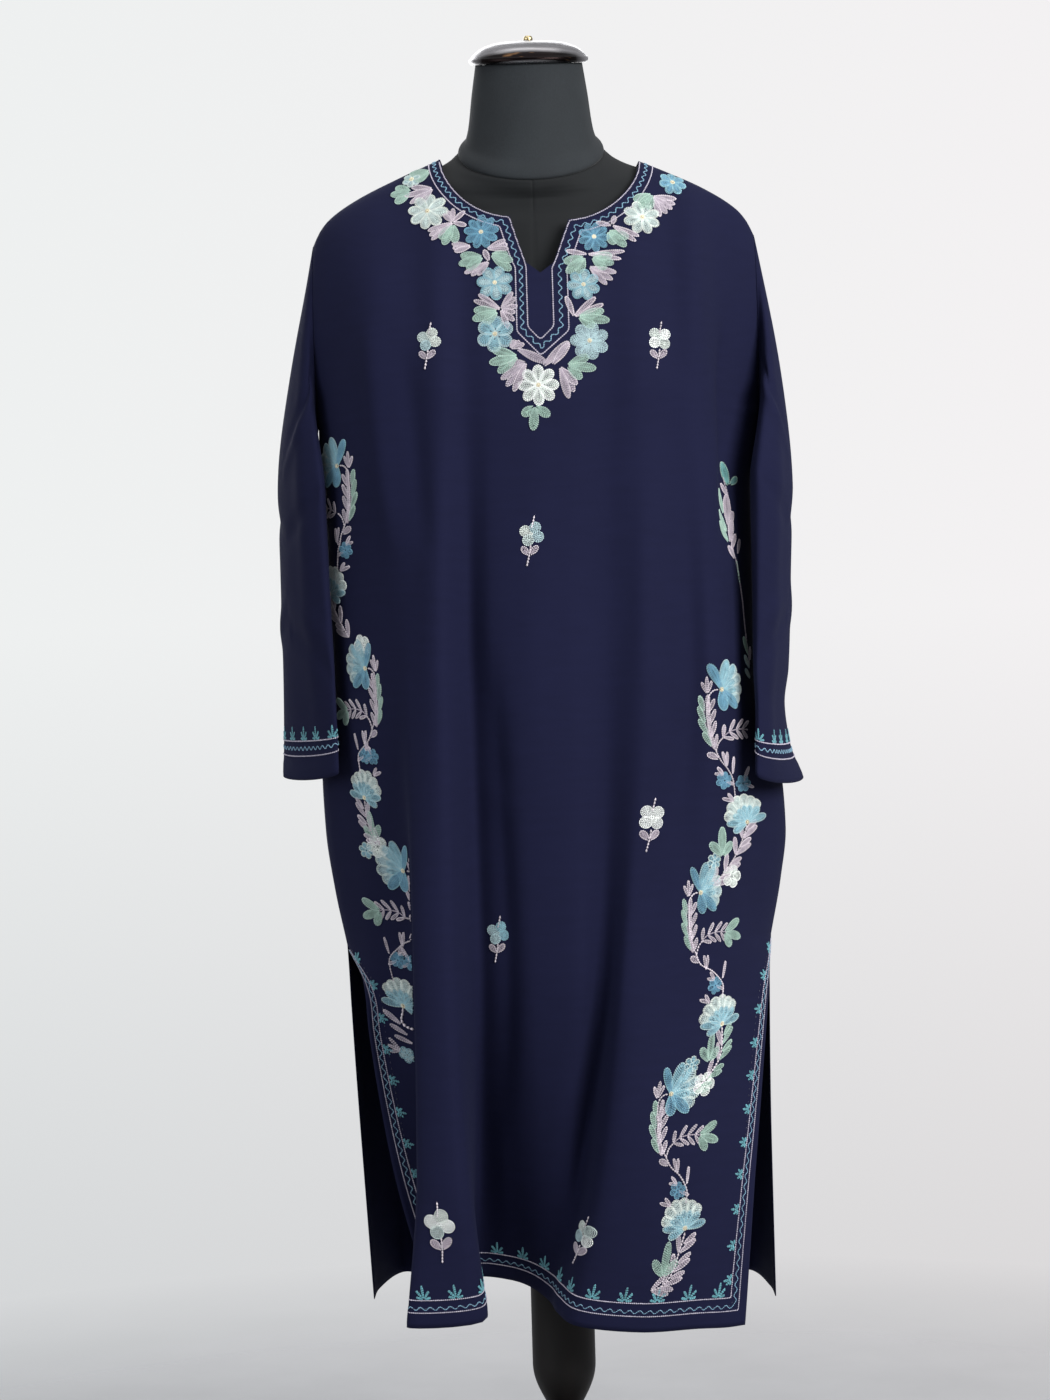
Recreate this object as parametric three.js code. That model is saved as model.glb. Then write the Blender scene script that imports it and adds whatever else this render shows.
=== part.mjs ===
// A Kashmiri pheran of navy wool on a limbless dress form with a turned wooden stand.
//
// Millimetres, +Z up. The origin is the middle of the stand's underside, on the floor. The garment faces -Y, so the
// wearer's right side is at -X and the wearer's left side at +X. Nothing here moves.
//
// Each cloth piece is a wall. Its outer side is a grid of points, its inner side is the same grid moved in by the
// cloth's thickness, and rims close the edges. Below the chest a piece is a stack of level sections, each a smooth
// curve through the piece's fold lines. Above the chest its columns run up and over the shoulder.

import * as THREE from "three";

// ---------------------------------------------------------------------------------------------------------------
// Driving sizes
// ---------------------------------------------------------------------------------------------------------------

const CLOTH = 2;
const SEAM_GAP = 0.3;

// Heights above the floor.
const HEM = 330;
const SLIT_TOP = 685;
const UNDERARM = 1200;
const CHEST = 1292;
const BUST = 1215;
const SHOULDER_TIP = 1384;

// The armhole is an upright oval in the plane x = ARMHOLE_X, as high as UNDERARM to SHOULDER_TIP.
const ARMHOLE_X = 220;
const ARMHOLE_SWELL = { front: { right: 30, left: 20 }, back: { right: 32, left: 32 } };

// The shoulder line, by distance from the middle. Inside the neck it only guides the slope of the chest.
const SHOULDER_LINE = {
  x: [0, 60, 99, 132, 175, 203, 213, ARMHOLE_X],
  z: [1496, 1481, 1464, 1450, 1429, 1410, 1398, SHOULDER_TIP],
};

// The neck opening: a scoop in front and a shallow curve behind. Roundness is 2 for an oval and less where the scoop
// runs straighter. The slit below it goes down one side to a blunt point and up the other.
const NECK = { middle: 8, halfWidth: 99, backHeight: 1449, frontRoundness: 1.8, backRoundness: 2 };
const NECK_SLIT = [
  { x: -23, top: 1395 },
  { x: -16, top: 1370 },
  { x: -8.5, top: 1346 },
  { x: 5, top: 1335 },
  { x: 18, top: 1345 },
  { x: 26, top: 1368 },
  { x: 34, top: 1390 },
];

// The girths at which the fold lines are measured, from the hem up to the underarm. The hem's rise and fall dies
// away below LIFT_END.
const LIFT_END = 480;
const GIRTHS = [HEM, LIFT_END, SLIT_TOP, 950, UNDERARM];

// Fold lines of the front, from the wearer's right to the left. x and y are the line's place at each girth, and lift
// is how far the hem rises there. The great fold overhangs: its outer crest lies over the valley beside it.
const FRONT_FOLDS = [
  { name: "right side swell", x: [-109, -147, -184, -199, -202], y: [-77, -75, -40, -48, -52], lift: 6 },
  { name: "valley under the great fold", x: [-95, -105, -128, -139, -139], y: [-86, -86, -94, -98, -102], lift: 8 },
  { name: "great fold, outer crest", x: [-150, -136, -133, -129, -116], y: [-126, -132, -134, -120, -122], lift: 0 },
  { name: "great fold, inner crest", x: [-83, -93, -100, -100, -94], y: [-118, -147, -146, -137, -131], lift: 6 },
  { name: "deep trough", x: [-68, -76, -71, -71, -70], y: [-14, -48, -98, -107, -126], lift: 20 },
  { name: "trough floor", x: [-50, -51, -49, -52, -47], y: [-26, -66, -114, -124, -131], lift: 21 },
  { name: "trough floor beside the stand", x: [-29, -17, -18, -25, -18], y: [-46, -88, -126, -134, -133], lift: 17 },
  { name: "middle", x: [-13, 9, 25, 21, 29], y: [-70, -94, -129, -136, -133], lift: 9 },
  { name: "middle trough", x: [-6, 22, 49, 58, 66], y: [-102, -90, -112, -126, -129], lift: 5 },
  { name: "left ridge", x: [10, 42, 69, 94, 96], y: [-131, -142, -134, -136, -131], lift: -1 },
  { name: "left trough", x: [72, 86, 97, 138, 131], y: [-142, -150, -126, -106, -117], lift: -7 },
  { name: "left swell", x: [127, 133, 145, 159, 155], y: [-138, -141, -112, -106, -107], lift: -6 },
  { name: "left side hollow", x: [155, 166, 190, 187, 182], y: [-127, -118, -64, -70, -56], lift: -8 },
];

// Fold lines of the back, from the wearer's left to the right.
const BACK_FOLDS = [
  { name: "left side swell", x: [214, 215, 216, 207, 204], y: [62, 58, 50, 48, 46], lift: -11 },
  { name: "left corner", x: [196, 198, 190, 178, 168], y: [142, 136, 112, 92, 80], lift: -10 },
  { name: "left trough", x: [150, 148, 142, 138, 128], y: [118, 116, 113, 104, 97], lift: -8 },
  { name: "left ridge", x: [100, 98, 96, 94, 92], y: [164, 156, 142, 124, 105], lift: -9 },
  { name: "middle trough", x: [48, 50, 52, 54, 54], y: [124, 122, 122, 113, 108], lift: -6 },
  { name: "middle ridge", x: [2, 6, 8, 10, 10], y: [162, 155, 144, 128, 111], lift: -8 },
  { name: "right trough", x: [-46, -42, -38, -36, -34], y: [120, 121, 124, 117, 110], lift: -5 },
  { name: "right ridge", x: [-96, -92, -88, -84, -80], y: [166, 157, 142, 124, 106], lift: -6 },
  { name: "outer trough", x: [-136, -134, -132, -128, -122], y: [128, 124, 116, 106, 98], lift: -4 },
  { name: "right corner", x: [-163, -168, -172, -170, -164], y: [148, 138, 114, 94, 80], lift: -4 },
  { name: "right side swell", x: [-187, -194, -201, -203, -204], y: [64, 60, 52, 48, 46], lift: -3 },
];

// The side seams, from the slit's top to the underarm, and below it the open edges of the front and of the back.
const SEAMS = {
  right: {
    z: [SLIT_TOP, 740, 800, 860, 950, 1050, 1130, UNDERARM],
    x: [-206, -217, -225, -227, -217, -217, -218, -ARMHOLE_X],
    y: [5, 10, 14, 14, 10, 6, 4, 0],
  },
  left: {
    z: [SLIT_TOP, 740, 790, 850, 900, 950, 1050, 1130, UNDERARM],
    x: [219, 231, 238, 235, 218, 211, 210, 210, ARMHOLE_X],
    y: [6, 14, 20, 22, 16, 8, 2, 0, 0],
  },
};
const FRONT_SLITS = {
  right: { z: [HEM, 480, 600, 650, SLIT_TOP], x: [-125, -163, -182, -188, -206], y: [-84, -76, -56, -34, 5], lift: 5 },
  left: { z: [HEM, 480, 640, SLIT_TOP], x: [173, 190, 212, 219], y: [-118, -100, -40, 6], lift: -8 },
};
const BACK_SLITS = {
  right: { z: [HEM, 480, 640, SLIT_TOP], x: [-189, -197, -204, -206], y: [15, 13, 10, 5], lift: -3 },
  left: { z: [HEM, 480, 640, SLIT_TOP], x: [215, 215, 217, 219], y: [15, 13, 11, 6], lift: -11 },
};

// Above the bust the cloth falls back to the shoulder. FULLNESS is how squarely it does so in the middle. That shape
// gives way to the armhole's oval between the two distances of YOKE_BLEND from the middle.
const FULLNESS = { front: 1.5, back: 2.5 };
const YOKE_BLEND = [120, 215];

// A section meets a side seam squarely. Below the slit's top and above the underarm that fades over these heights.
const SEAM_FADE = { below: 60, above: 15 };

// The rows of the body pieces' grids: levels below the chest, then shares of the way on to the top edge.
const BODY_LEVELS = [HEM, 365, 410, 470, 540, 610, 650, SLIT_TOP, 760, 850, 950, 1050, 1140, UNDERARM, 1222, 1255, CHEST];
const YOKE_SHARES = [0.22, 0.43, 0.63, 0.82, 1];

// The columns of the body pieces' grids, for each shoulder and each half of the neckline.
const COLUMN_COUNTS = {
  front: { rightShoulder: 10, neck: 9, leftShoulder: 9 },
  back: { shoulder: 8, neck: 9 },
};

// Below the armhole a sleeve hangs as flattened rings. A ring is centred at x, y. length is half its way from front
// to back, width half its way across, lean the angle in degrees by which its front end turns in to the body, and
// crease the height of the pressed fold on its outer front.
const SLEEVES = {
  right: {
    rings: {
      z: [857, 897, 950, 1030, 1130],
      x: [-236.5, -236, -236, -237, -238.5],
      y: [-8, -8, -8, -8, -6],
      length: [63, 62, 62, 62, 62],
      width: [14, 14.5, 16, 18, 19],
      lean: [28, 27, 25, 22, 20],
      crease: [1, 2, 3, 4, 5],
    },
    cuffDrop: 6,
  },
  left: {
    rings: {
      z: [844, 880, 915, 950, 1030, 1130],
      x: [228, 222.5, 221, 223, 226, 229],
      y: [-38, -36, -34, -32, -28, -25],
      length: [63, 62, 61, 62, 62, 62],
      width: [14, 12, 11, 14, 17, 20],
      lean: [24, 17, 15, 16, 15, 14],
      crease: [1, 3, 3, 3, 4, 4],
    },
    cuffDrop: 8,
  },
};
const CREASE_AT = 48;
const CREASE_SPREAD = 17;
const SLEEVE_AROUND = 22;
const SLEEVE_LEVELS = [1130, 1080, 1030, 980, 930, 890, 862];
const CUFF_FADE = 70;

// The sleeve's head: how far it is thrown out at the underarm and at the shoulder before it turns down, and the
// shares of its fall over which it leaves the armhole and settles into the hanging rings.
const SLEEVE_HEAD = { rows: 7, outLow: 5, outHigh: 12, leave: 0.25, settle: 0.4 };

// The torso of the dress form as a stack of ovals: half width, reach to the front and to the back, the degrees by
// which the front half dips and the back half rises to meet the neck's slanted foot, and the roundness, 2 for an
// ellipse and less where the shoulders draw it out to a point.
const TORSO = {
  z: [772, 790, 850, 940, 1040, 1120, 1210, 1290, 1350, 1392, 1412, 1426, 1437, 1448, 1460, 1471],
  width: [146, 164, 170, 158, 122, 134, 150, 160, 172, 184, 186, 175, 151, 125.5, 92, 73.5],
  front: [86, 100, 104, 98, 84, 98, 120, 104, 84, 70, 62, 62, 64, 67, 69, 70],
  back: [98, 112, 118, 104, 78, 86, 96, 97, 90, 82, 74, 68, 64, 62, 63, 64],
  dip: [0, 0, 0, 0, 0, 0, 0, 0, 0, 2, 5, 11, 17, 22, 27, 30],
  rise: [0, 0, 0, 0, 0, 0, 0, 0, 0, 0, -4, -7, -6, -5, 3, 30],
  roundness: [2.3, 2.3, 2.3, 2.3, 2.3, 2.3, 2.3, 2.3, 2.3, 2.1, 1.6, 1.5, 1.45, 1.5, 1.75, 2],
};

// The neck runs from the torso's top oval to a level ring, which the cap covers.
const NECK_TOP = { y: -12, z: 1558, radius: 54.7, tilt: 13 };
const NECK_WAIST = { share: 0.45, pinch: 3 };
const NECK_SHARES = [0, 0.12, 0.3, 0.5, 0.7, 0.88, 1];
const CAP = { radius: 59.5, height: 22, rim: 5 };
const KNOB = { radius: 4.6, height: 5 };

// The stand: a wide turned column that steps in to a slim stem, and a round base.
const COLUMN = { radius: 31.5, stem: 17.5, shoulder: 262, stemTop: 222, hub: 34, hubTop: 58 };
const BASE = { radius: 210, height: 24, edge: 8, crown: 70 };

// Straight sides round each turned or lofted solid.
const AROUND = { torso: 44, neck: 40, cap: 40, knob: 20, column: 36, base: 56 };
const COLUMN_TURNING = 7;

const COLOURS = {
  wool: 0x23263e,
  jersey: 0x33383b,
  cap: 0x9a999a,
  knob: 0xcdbf9c,
  wood: 0x1c1715,
};

// ---------------------------------------------------------------------------------------------------------------
// Interpolation
// ---------------------------------------------------------------------------------------------------------------

// The slope at each station of a curve that never overshoots them.
function stationSlopes(stations, values) {
  const secants = stations.slice(1).map((s, i) => (values[i + 1] - values[i]) / (s - stations[i]));
  return stations.map((_, i) => {
    if (i === 0 || i === stations.length - 1) {
      return i === 0 ? secants[0] : secants[i - 1];
    }
    const before = secants[i - 1];
    const after = secants[i];
    return before * after <= 0 ? 0 : (2 * before * after) / (before + after);
  });
}

// The value at a place on the smooth curve through the stations, held level past both ends.
function through(stations, values, place) {
  const last = stations.length - 1;
  if (place <= stations[0]) {
    return values[0];
  }
  if (place >= stations[last]) {
    return values[last];
  }
  const i = stations.findIndex((s) => s > place) - 1;
  const slopes = stationSlopes(stations, values);
  const step = stations[i + 1] - stations[i];
  const t = (place - stations[i]) / step;
  const start = values[i] * (1 + 2 * t) * (1 - t) ** 2 + slopes[i] * step * t * (1 - t) ** 2;
  const end = values[i + 1] * t * t * (3 - 2 * t) - slopes[i + 1] * step * t * t * (1 - t);
  return start + end;
}

function mix(a, b, share) {
  return a + (b - a) * share;
}

function ramp(from, to, place) {
  return THREE.MathUtils.smoothstep((place - from) / (to - from), 0, 1);
}

// ---------------------------------------------------------------------------------------------------------------
// Walls
// ---------------------------------------------------------------------------------------------------------------

// The unit normal at each point of a grid, on the side that facing (1 or -1) picks.
function gridNormals(grid, closed, facing) {
  const rows = grid.length;
  const columns = grid[0].length;
  const wrap = (c) => (closed ? (c + columns) % columns : THREE.MathUtils.clamp(c, 0, columns - 1));
  return grid.map((row, r) =>
    row.map((_, c) => {
      const along = grid[r][wrap(c + 1)].clone().sub(grid[r][wrap(c - 1)]);
      const up = grid[Math.min(r + 1, rows - 1)][c].clone().sub(grid[Math.max(r - 1, 0)][c]);
      return along.cross(up).multiplyScalar(facing).normalize();
    }),
  );
}

// A closed wall between a grid and its copy moved in. flatten(r, c) names the axis, if any, along which the wall's
// edge must stay level so that it meets its neighbour squarely at a seam.
function wallGeometry(grid, { closed = false, facing = 1, flatten = () => null }) {
  const rows = grid.length;
  const columns = grid[0].length;
  const normals = gridNormals(grid, closed, facing);
  const inner = grid.map((row, r) =>
    row.map((point, c) => {
      const normal = normals[r][c];
      const axis = flatten(r, c);
      if (axis) {
        normal[axis] = 0;
        normal.normalize();
      }
      return point.clone().addScaledVector(normal, -CLOTH);
    }),
  );
  const points = [...grid.flat(), ...inner.flat()];
  const at = (layer, r, c) => layer * rows * columns + r * columns + (c % columns);
  const index = [];
  const quad = (a, b, c, d) => {
    const corners = facing > 0 ? [a, b, c, a, c, d] : [a, c, b, a, d, c];
    index.push(...corners);
  };
  const lastColumn = closed ? columns : columns - 1;
  for (let r = 0; r < rows - 1; r += 1) {
    for (let c = 0; c < lastColumn; c += 1) {
      quad(at(0, r, c), at(0, r, c + 1), at(0, r + 1, c + 1), at(0, r + 1, c));
      quad(at(1, r, c), at(1, r + 1, c), at(1, r + 1, c + 1), at(1, r, c + 1));
    }
  }
  for (let c = 0; c < lastColumn; c += 1) {
    quad(at(0, 0, c), at(1, 0, c), at(1, 0, c + 1), at(0, 0, c + 1));
    quad(at(0, rows - 1, c), at(0, rows - 1, c + 1), at(1, rows - 1, c + 1), at(1, rows - 1, c));
  }
  if (!closed) {
    for (let r = 0; r < rows - 1; r += 1) {
      quad(at(0, r, 0), at(0, r + 1, 0), at(1, r + 1, 0), at(1, r, 0));
      quad(at(0, r, columns - 1), at(1, r, columns - 1), at(1, r + 1, columns - 1), at(0, r + 1, columns - 1));
    }
  }
  return geometryOf(points, index);
}

function geometryOf(points, index) {
  const geometry = new THREE.BufferGeometry().setFromPoints(points);
  geometry.setIndex(index);
  geometry.computeVertexNormals();
  return geometry;
}

// A solid through a stack of rings with the same number of points, each end closed by a fan.
function loftGeometry(rings) {
  const around = rings[0].length;
  const middle = (ring) => ring.reduce((sum, p) => sum.add(p), new THREE.Vector3()).divideScalar(around);
  const points = [...rings.flat(), middle(rings[0]), middle(rings[rings.length - 1])];
  const bottom = rings.length * around;
  const top = bottom + 1;
  const lastRing = (rings.length - 1) * around;
  const index = [];
  for (let i = 0; i < around; i += 1) {
    const next = (i + 1) % around;
    for (let r = 0; r < rings.length - 1; r += 1) {
      const low = r * around;
      const high = low + around;
      index.push(low + i, low + next, high + next, low + i, high + next, high + i);
    }
    index.push(bottom, next, i, top, lastRing + i, lastRing + next);
  }
  return geometryOf(points, index);
}

// ---------------------------------------------------------------------------------------------------------------
// The body of the garment
// ---------------------------------------------------------------------------------------------------------------

function shoulderHeight(x) {
  return through(SHOULDER_LINE.x, SHOULDER_LINE.z, Math.abs(x));
}

// How far out the armhole's edge stands at a height, as a share of its swell.
function armholeShare(z) {
  const share = (z - CHEST) / (SHOULDER_TIP - CHEST);
  return Math.sqrt(Math.max(0, 1 - share * share));
}

// The share of its depth at the bust that the cloth keeps as it rises to the shoulder line. Beside the armhole it
// follows the armhole's oval, and towards the middle the flatter slope of the chest or the fuller one of the back.
function chestShare(x, z, fullness) {
  const sideways = ramp(...YOKE_BLEND, Math.abs(x));
  const start = mix(BUST, CHEST, sideways);
  const power = mix(fullness, 2, sideways);
  const share = THREE.MathUtils.clamp((z - start) / (shoulderHeight(x) - start), 0, 1);
  return Math.max(0, 1 - share ** power) ** (1 / power);
}

// One side edge of a body piece: the armhole, the side seam, then the slit's open edge.
function edgePoint(side, piece, z) {
  const away = piece === "front" ? -1 : 1;
  const halfGap = (away * SEAM_GAP) / 2;
  if (z > UNDERARM) {
    const swell = ARMHOLE_SWELL[piece][side] * armholeShare(z);
    return new THREE.Vector3(side === "right" ? -ARMHOLE_X : ARMHOLE_X, away * swell + halfGap, z);
  }
  const slit = piece === "front" ? FRONT_SLITS[side] : BACK_SLITS[side];
  const line = z >= SLIT_TOP ? SEAMS[side] : slit;
  const lift = slit.lift * (1 - ramp(HEM, LIFT_END, z));
  return new THREE.Vector3(through(line.z, line.x, z), through(line.z, line.y, z) + halfGap, z + lift);
}

function foldPoint(fold, piece, z) {
  const x = through(GIRTHS, fold.x, z);
  const y = through(GIRTHS, fold.y, z) * chestShare(x, z, FULLNESS[piece]);
  return new THREE.Vector3(x, y, z + fold.lift * (1 - ramp(HEM, LIFT_END, z)));
}

// The point past a piece's edge that sets how its section ends: square to the side seam where the piece is sewn to
// its neighbour below the armhole, and straight on elsewhere.
function leadPoint(edge, next, z) {
  const aboveSlit = ramp(SLIT_TOP - SEAM_FADE.below, SLIT_TOP, z);
  const sewn = aboveSlit * (1 - ramp(UNDERARM, UNDERARM + SEAM_FADE.above, z));
  const straight = edge.clone().multiplyScalar(2).sub(next);
  const mirrored = new THREE.Vector3(next.x, 2 * edge.y - next.y, edge.z);
  return straight.lerp(mirrored, sewn);
}

// The level section of a body piece, from its first side edge to its last.
function bodySection(piece, folds, sides, z) {
  const line = folds.map((fold) => foldPoint(fold, piece, z));
  line.unshift(edgePoint(sides[0], piece, z));
  line.push(edgePoint(sides[1], piece, z));
  const last = line.length - 1;
  const before = leadPoint(line[0], line[1], z);
  const after = leadPoint(line[last], line[last - 1], z);
  const curve = new THREE.CatmullRomCurve3([before, ...line, after], false, "centripetal");
  return (share) => curve.getPoint((1 + share * last) / (last + 2));
}

// Where along a section the cloth has a given x. The section must run one way across there.
function shareAt(section, x, leftwards) {
  let low = 0;
  let high = 1;
  for (let i = 0; i < 40; i += 1) {
    const middle = (low + high) / 2;
    const past = leftwards ? section(middle).x > x : section(middle).x < x;
    if (past) {
      high = middle;
    } else {
      low = middle;
    }
  }
  return (low + high) / 2;
}

// Evenly spaced columns from one x to another, without the last.
function evenColumns(from, to, count, top) {
  return Array.from({ length: count }, (_, i) => {
    const x = mix(from, to, i / count);
    return { x, top: top(x) };
  });
}

// Columns that follow a quarter of the neck's oval, a little closer together where it is steep. The quarter's lowest
// point is at inner, measured from the neck's middle.
function ovalColumns(side, { inner, lowest, count, roundness, outwards }) {
  const neckPoint = shoulderHeight(NECK.middle + side * NECK.halfWidth);
  return Array.from({ length: count }, (_, i) => {
    const share = outwards ? 1 - i / count : i / count;
    const across = mix(1 - share, Math.cos((share * Math.PI) / 2), 0.5);
    const down = (1 - across ** roundness) ** (1 / roundness);
    return { x: NECK.middle + side * mix(inner, NECK.halfWidth, across), top: mix(neckPoint, lowest, down) };
  });
}

// One side of the front's scoop, from the shoulder to the slit's corner or back out again.
function scoopColumns(side, corner, outwards) {
  return ovalColumns(side, {
    inner: Math.abs(corner.x - NECK.middle),
    lowest: corner.top,
    count: COLUMN_COUNTS.front.neck,
    roundness: NECK.frontRoundness,
    outwards,
  });
}

function frontColumns() {
  const rightPoint = NECK.middle - NECK.halfWidth;
  const leftPoint = NECK.middle + NECK.halfWidth;
  const counts = COLUMN_COUNTS.front;
  const leftCorner = NECK_SLIT[NECK_SLIT.length - 1];
  return [
    ...evenColumns(-ARMHOLE_X, rightPoint, counts.rightShoulder, shoulderHeight),
    ...scoopColumns(-1, NECK_SLIT[0], false),
    ...NECK_SLIT.slice(0, -1),
    ...scoopColumns(1, leftCorner, true),
    ...evenColumns(leftPoint, ARMHOLE_X, counts.leftShoulder, shoulderHeight),
    { x: ARMHOLE_X, top: SHOULDER_TIP },
  ];
}

function backColumns() {
  const rightPoint = NECK.middle - NECK.halfWidth;
  const leftPoint = NECK.middle + NECK.halfWidth;
  const counts = COLUMN_COUNTS.back;
  const curve = { inner: 0, lowest: NECK.backHeight, count: counts.neck, roundness: NECK.backRoundness };
  return [
    ...evenColumns(ARMHOLE_X, leftPoint, counts.shoulder, shoulderHeight),
    ...ovalColumns(1, { ...curve, outwards: false }),
    ...ovalColumns(-1, { ...curve, outwards: true }),
    ...evenColumns(rightPoint, -ARMHOLE_X, counts.shoulder, shoulderHeight),
    { x: -ARMHOLE_X, top: SHOULDER_TIP },
  ];
}

// The part of a column above the chest, up to its place on the shoulder seam or the neckline.
function yokePoint(column, start, share, fullness, halfGap) {
  const z = mix(start.z, column.top, Math.sin((share * Math.PI) / 2));
  const keep = chestShare(column.x, z, fullness) / chestShare(column.x, CHEST, fullness);
  return new THREE.Vector3(column.x, (start.y - halfGap) * keep + halfGap, z);
}

function bodyGrid(piece, folds, sides, columns) {
  const leftwards = piece === "front";
  const halfGap = ((piece === "front" ? -1 : 1) * SEAM_GAP) / 2;
  const chest = bodySection(piece, folds, sides, CHEST);
  const shares = columns.map((column, c) => {
    if (c === 0 || c === columns.length - 1) {
      return c === 0 ? 0 : 1;
    }
    return shareAt(chest, column.x, leftwards);
  });
  const lower = BODY_LEVELS.map((z) => {
    const section = bodySection(piece, folds, sides, z);
    return shares.map((share) => section(share));
  });
  const chestRow = lower[lower.length - 1];
  const upper = YOKE_SHARES.map((share) =>
    columns.map((column, c) => yokePoint(column, chestRow[c], share, FULLNESS[piece], halfGap)),
  );
  return [...lower, ...upper];
}

function bodyPanel(piece, folds, sides, columns) {
  const grid = bodyGrid(piece, folds, sides, columns);
  const topRow = grid.length - 1;
  const lastColumn = columns.length - 1;
  const firstSewn = BODY_LEVELS.indexOf(SLIT_TOP);
  const underarm = BODY_LEVELS.indexOf(UNDERARM);
  const flatten = (r, c) => {
    const onSide = c === 0 || c === lastColumn;
    const onShoulder = r === topRow && Math.abs(columns[c].x - NECK.middle) > NECK.halfWidth - SEAM_GAP;
    if (onSide && r > underarm && r < topRow) {
      return "x";
    }
    return onShoulder || (onSide && r >= firstSewn && r <= underarm) ? "y" : null;
  };
  return wallGeometry(grid, { flatten });
}

// ---------------------------------------------------------------------------------------------------------------
// The sleeves
// ---------------------------------------------------------------------------------------------------------------

// A point of a hanging ring. The turn is 0 on its outer side, 90 degrees in front and 180 against the body.
function sleeveRingPoint(side, z, turn) {
  const { rings, cuffDrop } = SLEEVES[side];
  const out = side === "right" ? -1 : 1;
  const lean = THREE.MathUtils.degToRad(through(rings.z, rings.lean, z));
  const fromCrease = (THREE.MathUtils.radToDeg(turn) - CREASE_AT) / CREASE_SPREAD;
  const crease = through(rings.z, rings.crease, z) * Math.exp(-fromCrease * fromCrease);
  const across = (through(rings.z, rings.width, z) + crease) * Math.cos(turn);
  const forward = (through(rings.z, rings.length, z) + crease) * Math.sin(turn);
  const x = across * Math.cos(lean) - forward * Math.sin(lean);
  const y = across * Math.sin(lean) - forward * Math.cos(lean);
  const drop = cuffDrop * (1 - ramp(rings.z[0], rings.z[0] + CUFF_FADE, z)) * Math.cos(turn);
  return new THREE.Vector3(through(rings.z, rings.x, z) + out * x, through(rings.z, rings.y, z) + y, z - drop);
}

function armholePoint(side, turn) {
  const out = side === "right" ? -1 : 1;
  const swell = Math.sin(turn) > 0 ? ARMHOLE_SWELL.front[side] : ARMHOLE_SWELL.back[side];
  const half = SHOULDER_TIP - CHEST;
  return new THREE.Vector3(out * (ARMHOLE_X + SEAM_GAP), -swell * Math.sin(turn), CHEST + half * Math.cos(turn));
}

// The head of the sleeve leaves the armhole outwards and bends down into the first hanging ring.
function sleeveHeadCurve(side, turn) {
  const out = side === "right" ? -1 : 1;
  const start = armholePoint(side, turn);
  const end = sleeveRingPoint(side, SLEEVE_LEVELS[0], turn);
  const fall = start.z - end.z;
  const thrown = mix(SLEEVE_HEAD.outLow, SLEEVE_HEAD.outHigh, (1 + Math.cos(turn)) / 2);
  const leave = start.clone().add(new THREE.Vector3(out * thrown, 0, -SLEEVE_HEAD.leave * fall));
  const arrive = end.clone().add(new THREE.Vector3(0, 0, SLEEVE_HEAD.settle * fall));
  return new THREE.CubicBezierCurve3(start, leave, arrive, end);
}

function sleeve(side) {
  const turns = Array.from({ length: SLEEVE_AROUND }, (_, i) => (i / SLEEVE_AROUND) * 2 * Math.PI);
  const heads = turns.map((turn) => sleeveHeadCurve(side, turn));
  const { rows } = SLEEVE_HEAD;
  const head = Array.from({ length: rows }, (_, r) => heads.map((h) => h.getPoint(r / rows)));
  const levels = [...SLEEVE_LEVELS, SLEEVES[side].rings.z[0]];
  const hanging = levels.map((z) => turns.map((turn) => sleeveRingPoint(side, z, turn)));
  return wallGeometry([...head, ...hanging], {
    closed: true,
    facing: side === "right" ? -1 : 1,
    flatten: (r) => (r === 0 ? "x" : null),
  });
}

// ---------------------------------------------------------------------------------------------------------------
// The dress form and its stand
// ---------------------------------------------------------------------------------------------------------------

// An oval with its own reach to the front and to the back, and its two halves tilted about the line between them.
function tiltedOval({ y = 0, z, width, front, back, dip, rise, roundness }, around) {
  return Array.from({ length: around }, (_, i) => {
    const turn = (i / around) * 2 * Math.PI;
    const squash = (value) => Math.sign(value) * Math.abs(value) ** (2 / roundness);
    const behind = Math.sin(turn) > 0;
    const away = squash(Math.sin(turn)) * (behind ? back : front);
    const slope = Math.tan(THREE.MathUtils.degToRad(behind ? rise : dip));
    return new THREE.Vector3(squash(Math.cos(turn)) * width, y + away, z + away * slope);
  });
}

function torsoOval(i) {
  return Object.fromEntries(Object.entries(TORSO).map(([size, values]) => [size, values[i]]));
}

function torsoGeometry() {
  return loftGeometry(TORSO.z.map((_, i) => tiltedOval(torsoOval(i), AROUND.torso)));
}

function neckGeometry() {
  const base = torsoOval(TORSO.z.length - 1);
  const rings = NECK_SHARES.map((share) => {
    const pinch = NECK_WAIST.pinch * Math.sin(Math.min(1, share / NECK_WAIST.share) * Math.PI * 0.5) * (1 - share);
    const ease = share * (2 - share);
    return tiltedOval(
      {
        y: mix(0, NECK_TOP.y, share),
        z: mix(base.z + SEAM_GAP, NECK_TOP.z, share),
        width: mix(base.width, NECK_TOP.radius, ease) - pinch,
        front: mix(base.front, NECK_TOP.radius, ease) - pinch,
        back: mix(base.back, NECK_TOP.radius, ease) - pinch,
        dip: mix(base.dip, NECK_TOP.tilt, share),
        rise: mix(base.rise, NECK_TOP.tilt, share),
        roundness: 2,
      },
      AROUND.neck,
    );
  });
  return loftGeometry(rings);
}

function latheGeometry(profile, segments) {
  const points = profile.map(([radius, height]) => new THREE.Vector2(radius, height));
  const geometry = new THREE.LatheGeometry(points, segments);
  geometry.rotateX(Math.PI / 2);
  return geometry;
}

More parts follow.
